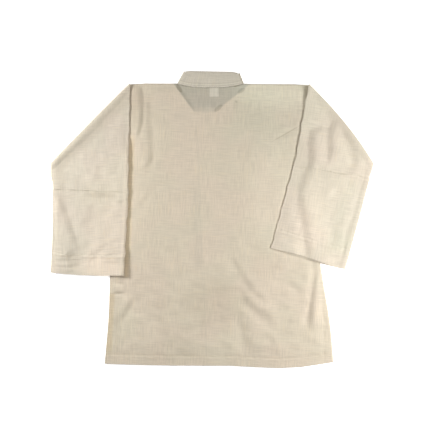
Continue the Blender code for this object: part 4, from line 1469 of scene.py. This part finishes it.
def length_setting(name, description, default):
    return bpy.props.FloatProperty(
        name=name, description=description, default=default, min=0.0, precision=5, unit="LENGTH"
    )


def colour_setting(name, description, default):
    return bpy.props.FloatVectorProperty(
        name=name, description=description, default=default, size=3, min=0.0, max=1.0, subtype="COLOR"
    )


def tint_setting(name, description, default):
    return bpy.props.FloatVectorProperty(
        name=name, description=description, default=default, size=3, min=0.0, max=2.0, precision=3
    )


def share_setting(name, description, default):
    return bpy.props.FloatProperty(
        name=name, description=description, default=default, min=0.0, max=1.0, subtype="FACTOR"
    )


def power_setting(name, description, default):
    return bpy.props.FloatProperty(
        name=name, description=description, default=default, min=0.0, unit="POWER"
    )


class JacketCloth(bpy.types.PropertyGroup):
    """The cloth and its weave"""

    wall: length_setting("Cloth thickness", "Thickness of one layer of cloth", 0.0007)
    hem_wall: length_setting("Hem thickness", "Thickness of the turned hems", 0.0012)
    collar_wall: length_setting("Collar thickness", "Thickness of the lined collar band", 0.0015)
    cream: colour_setting("Body cream", "Colour of the cloth on the body", (0.614, 0.549, 0.449))
    sleeve_cream: colour_setting("Sleeve cream", "Colour of the cloth on the sleeves", (0.635, 0.578, 0.486))
    grey_cream: colour_setting("Grey cream", "Colour that the cloth drifts towards", (0.578, 0.530, 0.438))
    collar_cream: colour_setting("Collar cream", "Colour of the collar band", (0.574, 0.546, 0.468))
    collar_grey: colour_setting("Collar grey", "Colour that the collar drifts towards", (0.535, 0.514, 0.446))
    yarn_density: bpy.props.FloatProperty(
        name="Yarn density", description="Uneven yarns to the metre", default=430.0, min=50.0
    )
    slub_length: length_setting("Slub length", "Length of the thick places in the yarn", 0.040)
    thread_pitch: length_setting("Thread pitch", "Spacing of the weave's threads", 0.0011)
    yarn_relief: length_setting("Yarn relief", "Depth of the weave", 0.00030)
    yarn_contrast: share_setting("Yarn contrast", "How far single yarns differ in lightness", 0.075)
    warm_drift: tint_setting("Warm drift", "Tint of the warmer areas of the cloth", (1.000, 0.986, 0.990))
    cool_drift: tint_setting("Cool drift", "Tint of the cooler areas of the cloth", (0.984, 0.992, 0.984))
    # Darkens the sewing lines, partly as painted shade in their grooves, and paints the shade along the
    # cuffs' edges
    seam_and_shade_tone: colour_setting("Seam tone", "Tint of the needle holes along a seam", (0.62, 0.54, 0.43))
    seam_and_shade_share: share_setting("Seam share", "How strongly the seams are tinted", 0.45)
    sheen: share_setting("Sheen", "Soft shine of the cloth's fibres", 0.05)


class JacketFolds(bpy.types.PropertyGroup):
    """How the laid cloth rises and creases"""

    back_loft: length_setting("Back loft", "How far the back rises off the fronts", 0.0031)
    sleeve_loft: length_setting("Sleeve loft", "How far a sleeve's upper wall rises", 0.0026)
    fold_puff: length_setting("Fold puff", "Extra height of the roll along each sleeve's fold", 0.0035)
    wave_height: length_setting("Wave height", "Height of the low waves in the cloth", 0.0007)
    crease_depth: bpy.props.FloatProperty(
        name="Crease depth", description="Depth of the creases, as a share of their own", default=1.0, min=0.0
    )


class JacketThread(bpy.types.PropertyGroup):
    """The sewing thread"""

    pitch: length_setting("Stitch pitch", "From the start of one stitch to the next", 0.0036)
    length: length_setting("Stitch length", "Length of the thread that shows", 0.0026)
    thickness: length_setting("Thread thickness", "Thickness of the thread", 0.0004)
    tone: colour_setting("Thread colour", "Colour of the thread", (0.63, 0.56, 0.43))


class JacketMarks(bpy.types.PropertyGroup):
    """Tints of what shows through the cloth, and of the painted light and shade on it"""

    opening_tint: tint_setting("Opening tint", "Tint over the neck opening", (0.752, 0.797, 0.822))
    # Tint where the collar's parts show through the back, and painted shade of the ripples along the collar's
    # pressed seam
    tab_tint: tint_setting("Tab tint", "Tint over the collar's ends", (0.78, 0.78, 0.76))
    # Painted warm bounce light over the shadow that the left sleeve casts on the back
    shadow_warmth_tint: tint_setting("Strip tint", "Warmth of the cloth beside the left sleeve", (1.085, 1.025, 0.90))
    vent_tint: tint_setting("Vent tint", "Tint of the doubled edge of the left vent", (0.975, 0.925, 0.845))
    # Painted shade at the collar's two ends and in the hollow under the right sleeve's fold corner, and the
    # dark sewing line on the left cuff
    end_tint: tint_setting("End tint", "Tint in the shade at the collar's two ends", (0.66, 0.63, 0.58))
    label_tint: tint_setting("Label tint", "Tint over the label", (1.29, 1.30, 1.33))
    # Painted light, a little greyer
    cool_light_tint: tint_setting("Cool light tint", "Tint of the lighter, greyer areas", (1.14, 1.19, 1.18))
    # Painted light, a little warmer
    warm_light_tint: tint_setting("Warm light tint", "Tint of the lighter, warmer areas", (1.18, 1.15, 1.14))
    # Painted shade, a little greyer
    cool_tint: tint_setting("Cool tint", "Tint of the greyer areas", (0.945, 0.985, 0.980))
    # Painted shade, a little warmer
    warm_shade_tint: tint_setting("Warm shade tint", "Tint of the darker areas", (0.80, 0.78, 0.75))
    # Painted shade over the outer part of the left sleeve
    outer_painted_shade_tint: tint_setting("Outer tint", "Tint of the outer half of the left sleeve", (0.920, 0.925, 0.940))
    # Painted shade in a band inside the left sleeve's fold
    roll_painted_shade_tint: tint_setting("Roll tint", "Tint inside the left sleeve's rolled edges", (0.890, 0.880, 0.870))


class JacketLights(bpy.types.PropertyGroup):
    """The lamps and the table"""

    left_power: power_setting("Left lamp", "Power of the left lamp", 8.75)
    right_power: power_setting("Right lamp", "Power of the right lamp", 10.2)
    high_power: power_setting("High lamp", "Power of the lamp high over the lower right", 4.6)
    end_light: bpy.props.FloatProperty(
        name="End light", description="Strength of the even light from past the collar", default=0.90, min=0.0
    )
    lamp_size: length_setting("Lamp size", "Width of each soft lamp", 0.42)
    surround: share_setting("Surround", "Strength of the even light from all round", 0.17)
    table_glow: share_setting("Table glow", "Light that the white table gives off itself", 0.54)


# Operators

class OBJECT_OT_jacket_back(bpy.types.Operator):
    """Add the back panel with the hidden upper part of both sleeves"""

    bl_idname = "object.jacket_back"
    bl_label = "Back"

    def execute(self, context):
        style = context.scene.jacket_cloth
        points, cloth, _ = panel(back_neck_y, back_height, False, BACK_COLUMNS, HIDDEN_STEPS, BACK_LINES)
        piece = add_sheet("back_cloth", points, cloth, style.wall, woven("body_weave"), "back",
                          doubled=turned_body(points), seam=body_seams(points))
        grid_area(points)
        return {"FINISHED"}


class OBJECT_OT_jacket_fronts(bpy.types.Operator):
    """Add the two front panels, whose sleeve parts lie on top of the folded sleeves"""

    bl_idname = "object.jacket_fronts"
    bl_label = "Fronts"

    def execute(self, context):
        style = context.scene.jacket_cloth
        columns = FRONT_COLUMNS
        for name, over in (("front_left", False), ("front_right", True)):
            points, cloth, first = panel(
                front_neck_y, lambda p: front_height(p, over), True, columns, UPPER_STEPS, FRONT_LINES
            )
            underlap = first + columns.side_left + columns.neck_left
            opening = underlap + columns.underlap
            cut = slice(underlap, None) if over else slice(0, opening + 1)
            points, cloth = points[:, cut], cloth[:, cut]
            seam = body_seams(points)
            sleeve = slice(-len(UPPER_STEPS), None) if over else slice(0, len(UPPER_STEPS))
            seam[: len(G_STEPS), sleeve] = sleeve_seams(SIDES[over], points[: len(G_STEPS), sleeve])
            piece = add_sheet(name + "_cloth", points, cloth, style.wall, woven("sleeve_weave"), name,
                              doubled=turned_body(points), seam=seam)
            grid_area(points)
        return {"FINISHED"}


class OBJECT_OT_jacket_sleeves(bpy.types.Operator):
    """Add the lower sleeves, each a flattened tube with a turned cuff"""

    bl_idname = "object.jacket_sleeves"
    bl_label = "Lower sleeves"

    def execute(self, context):
        style = context.scene.jacket_cloth
        for side in SIDES:
            points, cloth = tube_grid(side)
            to_cuff = apart(points[..., :2], points[-1:, :, :2])
            seam = sleeve_seams(side, points)
            # Painted shade along the cuff's end edge, and on the lower wall where the upper wall stops short
            seam = np.maximum(seam, side.edge_line * bump(to_cuff, 0.5 * SEAM_WIDTH))
            if side.cuff_step:
                low = to_cuff[:, : len(G_STEPS)]
                shade = CUFF_SHADE * bump(low - cuff_steps(side, G_STEPS) + 0.0008, SEAM_WIDTH)
                seam[:, : len(G_STEPS)] = np.maximum(seam[:, : len(G_STEPS)], shade)
            node = "sleeve_" + side.name
            piece = add_sheet(node + "_cloth", points, cloth, style.wall, woven("sleeve_weave"), node,
                              ring=True, doubled=smooth((CUFF_TURN - to_cuff) / 0.002),
                              seam=seam)
            around = apart(points, np.roll(points, 1, axis=1)).sum(axis=1).max()
            long = grid_area(points, ring=True) / around
        return {"FINISHED"}


class OBJECT_OT_jacket_collar(bpy.types.Operator):
    """Add the stand collar's band, flattened round the neckline"""

    bl_idname = "object.jacket_collar"
    bl_label = "Collar"

    def execute(self, context):
        style = context.scene.jacket_cloth
        points, cloth = collar_grid()
        end = len(points) - len(collar_front(1))
        seam = np.zeros(points.shape[:-1])
        # The collar's right turn at the neck point takes the seam tint too
        seam[end - COLLAR_STEPS : end] = 1.0
        piece = add_sheet("collar_band", points, cloth, style.collar_wall, woven("collar_weave"), "collar",
                          seam=seam)
        size = (float(cloth[-1, 0, 0]), float(np.nanmax(cloth[..., 1])))
        min(grid_area(points), size[0] * size[1])
        return {"FINISHED"}


class OBJECT_OT_jacket_label(bpy.types.Operator):
    """Add the blank label inside the back neck"""

    bl_idname = "object.jacket_label"
    bl_label = "Label"

    def execute(self, context):
        across, down = np.meshgrid(np.linspace(-0.5, 0.5, 13), np.linspace(0.5, -0.5, 13))
        flat = np.stack((LABEL_AT[0] + across * LABEL_SIZE[0], LABEL_AT[1] + down * LABEL_SIZE[1]), axis=-1)
        points = at(flat, back_height(flat) - LABEL_UNDER)
        tape = shared_material("label_tape", cord_material, LABEL_TONE)
        piece = add_sheet("neck_label_tape", points, flat, LABEL_WALL, tape, "neck_label")
        return {"FINISHED"}


class OBJECT_OT_jacket_frogs(bpy.types.Operator):
    """Add the cord fasteners down the front opening"""

    bl_idname = "object.jacket_frogs"
    bl_label = "Cord fasteners"

    def execute(self, context):
        cord = shared_material("frog_cord_cloth", cord_material, CORD_TONE)
        vertices, faces = joined(frog_parts())
        turned = vertices @ np.array(((LEVEL, LEAN, 0), (-LEAN, LEVEL, 0), (0, 0, 1)))
        for number in range(1, FROG_COUNT + 1):
            y = FROG_FIRST_Y - (number - 1) * FROG_SPACING
            placed = turned + (opening_x(y), y, FROG_Z)
            add_mesh(f"frog_{number}_cord", placed, faces, cord, f"frog_{number}")
        return {"FINISHED"}


class OBJECT_OT_jacket_stitches(bpy.types.Operator):
    """Add the rows of stitches along the hem, the vents, the cuffs and the collar"""

    bl_idname = "object.jacket_stitches"
    bl_label = "Stitches"

    def execute(self, context):
        style = context.scene.jacket_cloth
        thread = shared_material("sewing_thread", cord_material, context.scene.jacket_thread.tone)
        half = style.wall / 2
        hem = BODY[-1]
        ends = (hem[0] + VENT_TURN[0][1] + STITCH_END, hem[2] - VENT_TURN[1][1] - STITCH_END)
        x = np.linspace(*ends, 200)
        flat = np.stack((x, 0 * x), axis=-1)
        flat[:, 1] = HEM_TURN - above_hem(flat)
        rows = {"hem_stitches": [at(flat, back_height(flat) + half)]}
        rows["vent_stitches"] = []
        for side, top, turn in zip(SIDES, VENT_TOP, VENT_TURN):
            y = np.linspace(top, hem[1] + STITCH_END, 80)
            flat = np.stack((edge_x(side, y) - side.sign * vent_turn(top, turn, y), y), axis=-1)
            rows["vent_stitches"].append(at(flat, back_height(flat) + half))
        rows["cuff_stitches"] = []
        for side in SIDES:
            g = np.linspace(0.02, 0.98, 90)
            f = cuff_seam_at(side, g)
            rows["cuff_stitches"].append(at(sleeve_point(side, f, g), sleeve_height(side, f, g, True) + half))
        band = collar_back()
        place = COLLAR_STITCH / apart(band[:, -1], band[:, 0]) * (COLLAR_ROWS - 1)
        line = np.array([through(row, t) for row, t in zip(band, place)])
        line[:, 2] += style.collar_wall / 2
        rows["collar_stitches"] = [line]
        for name, lines in rows.items():
            vertices, faces = joined([part for line in lines for part in stitches(line)])
            add_mesh(name, vertices, faces, thread, None)
        return {"FINISHED"}


class OBJECT_OT_jacket_stage(bpy.types.Operator):
    """Add the white table, the lamps, the surrounding light and the camera"""

    bl_idname = "object.jacket_stage"
    bl_label = "Stage"

    def execute(self, context):
        style = context.scene.jacket_lights
        scene = context.scene
        mesh = bpy.data.meshes.new("table_top")
        corners = [(TABLE_REACH * x, TABLE_REACH * y, 0) for x, y in ((-1, -1), (1, -1), (1, 1), (-1, 1))]
        mesh.from_pydata(corners, [], [(0, 1, 2, 3)])
        mesh.materials.append(floor_material(style.table_glow))
        table = bpy.data.objects.new("table_top", mesh)
        scene.collection.objects.link(table)
        lamps = (
            ("lamp_left", "AREA", (-1.00, 0.22, 0.50), style.left_power, LEFT_LAMP_SHARE * style.lamp_size),
            ("lamp_right", "AREA", (1.00, -0.20, 0.50), style.right_power, style.lamp_size),
            ("lamp_high", "AREA", (0.90, -0.50, 1.30), style.high_power, style.lamp_size),
            ("light_past_collar", "SUN", (-0.15, 1.00, 0.75), style.end_light, SUN_ANGLE),
        )
        for name, kind, place, power, width in lamps:
            light = bpy.data.lights.new(name, kind)
            light.energy = power
            if kind == "AREA":
                light.size = width
            else:
                light.angle = width
            light.color = LAMP_COLOUR
            lamp = bpy.data.objects.new(name, light)
            lamp.location = place
            lamp.rotation_euler = (-Vector(place)).to_track_quat("-Z", "Y").to_euler()
            scene.collection.objects.link(lamp)
        world = bpy.data.worlds.new("surround")
        world.use_nodes = True
        background = world.node_tree.nodes["Background"]
        background.inputs["Color"].default_value = SURROUND_COLOUR
        background.inputs["Strength"].default_value = style.surround
        scene.world = world
        lens = bpy.data.cameras.new("overhead")
        lens.sensor_width = SENSOR_WIDTH
        lens.lens = SENSOR_WIDTH * CAMERA_AT[2] / FRAME_WIDTH
        camera = bpy.data.objects.new("overhead", lens)
        camera.location = CAMERA_AT
        scene.collection.objects.link(camera)
        scene.camera = camera
        scene.view_settings.view_transform = "Standard"
        return {"FINISHED"}


GROUPS = {
    "jacket_cloth": JacketCloth,
    "jacket_folds": JacketFolds,
    "jacket_thread": JacketThread,
    "jacket_marks": JacketMarks,
    "jacket_lights": JacketLights,
}
OPERATORS = (
    OBJECT_OT_jacket_back,
    OBJECT_OT_jacket_fronts,
    OBJECT_OT_jacket_sleeves,
    OBJECT_OT_jacket_collar,
    OBJECT_OT_jacket_label,
    OBJECT_OT_jacket_frogs,
    OBJECT_OT_jacket_stitches,
    OBJECT_OT_jacket_stage,
)


class VIEW3D_PT_jacket(bpy.types.Panel):
    """Lists the jacket's settings and its operators"""

    bl_idname = "VIEW3D_PT_jacket"
    bl_label = "Kung fu jacket"
    bl_space_type = "VIEW_3D"
    bl_region_type = "UI"
    bl_category = "Jacket"

    def draw(self, context):
        for name in GROUPS:
            box = self.layout.box()
            settings = getattr(context.scene, name)
            for key in settings.bl_rna.properties.keys():
                if key not in {"rna_type", "name"}:
                    box.prop(settings, key)
        for operator in OPERATORS:
            self.layout.operator(operator.bl_idname)


def register():
    for name, group in GROUPS.items():
        bpy.utils.register_class(group)
        setattr(bpy.types.Scene, name, bpy.props.PointerProperty(type=group))
    for made in (*OPERATORS, VIEW3D_PT_jacket):
        bpy.utils.register_class(made)


def unregister():
    for made in (VIEW3D_PT_jacket, *reversed(OPERATORS)):
        bpy.utils.unregister_class(made)
    for name, group in GROUPS.items():
        delattr(bpy.types.Scene, name)
        bpy.utils.unregister_class(group)


def main():
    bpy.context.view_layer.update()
    register()
    bpy.ops.object.jacket_back()
    bpy.ops.object.jacket_fronts()
    bpy.ops.object.jacket_sleeves()
    bpy.ops.object.jacket_collar()
    bpy.ops.object.jacket_label()
    bpy.ops.object.jacket_frogs()
    bpy.ops.object.jacket_stitches()
    bpy.ops.object.jacket_stage()


if __name__ == "__main__":
    main()
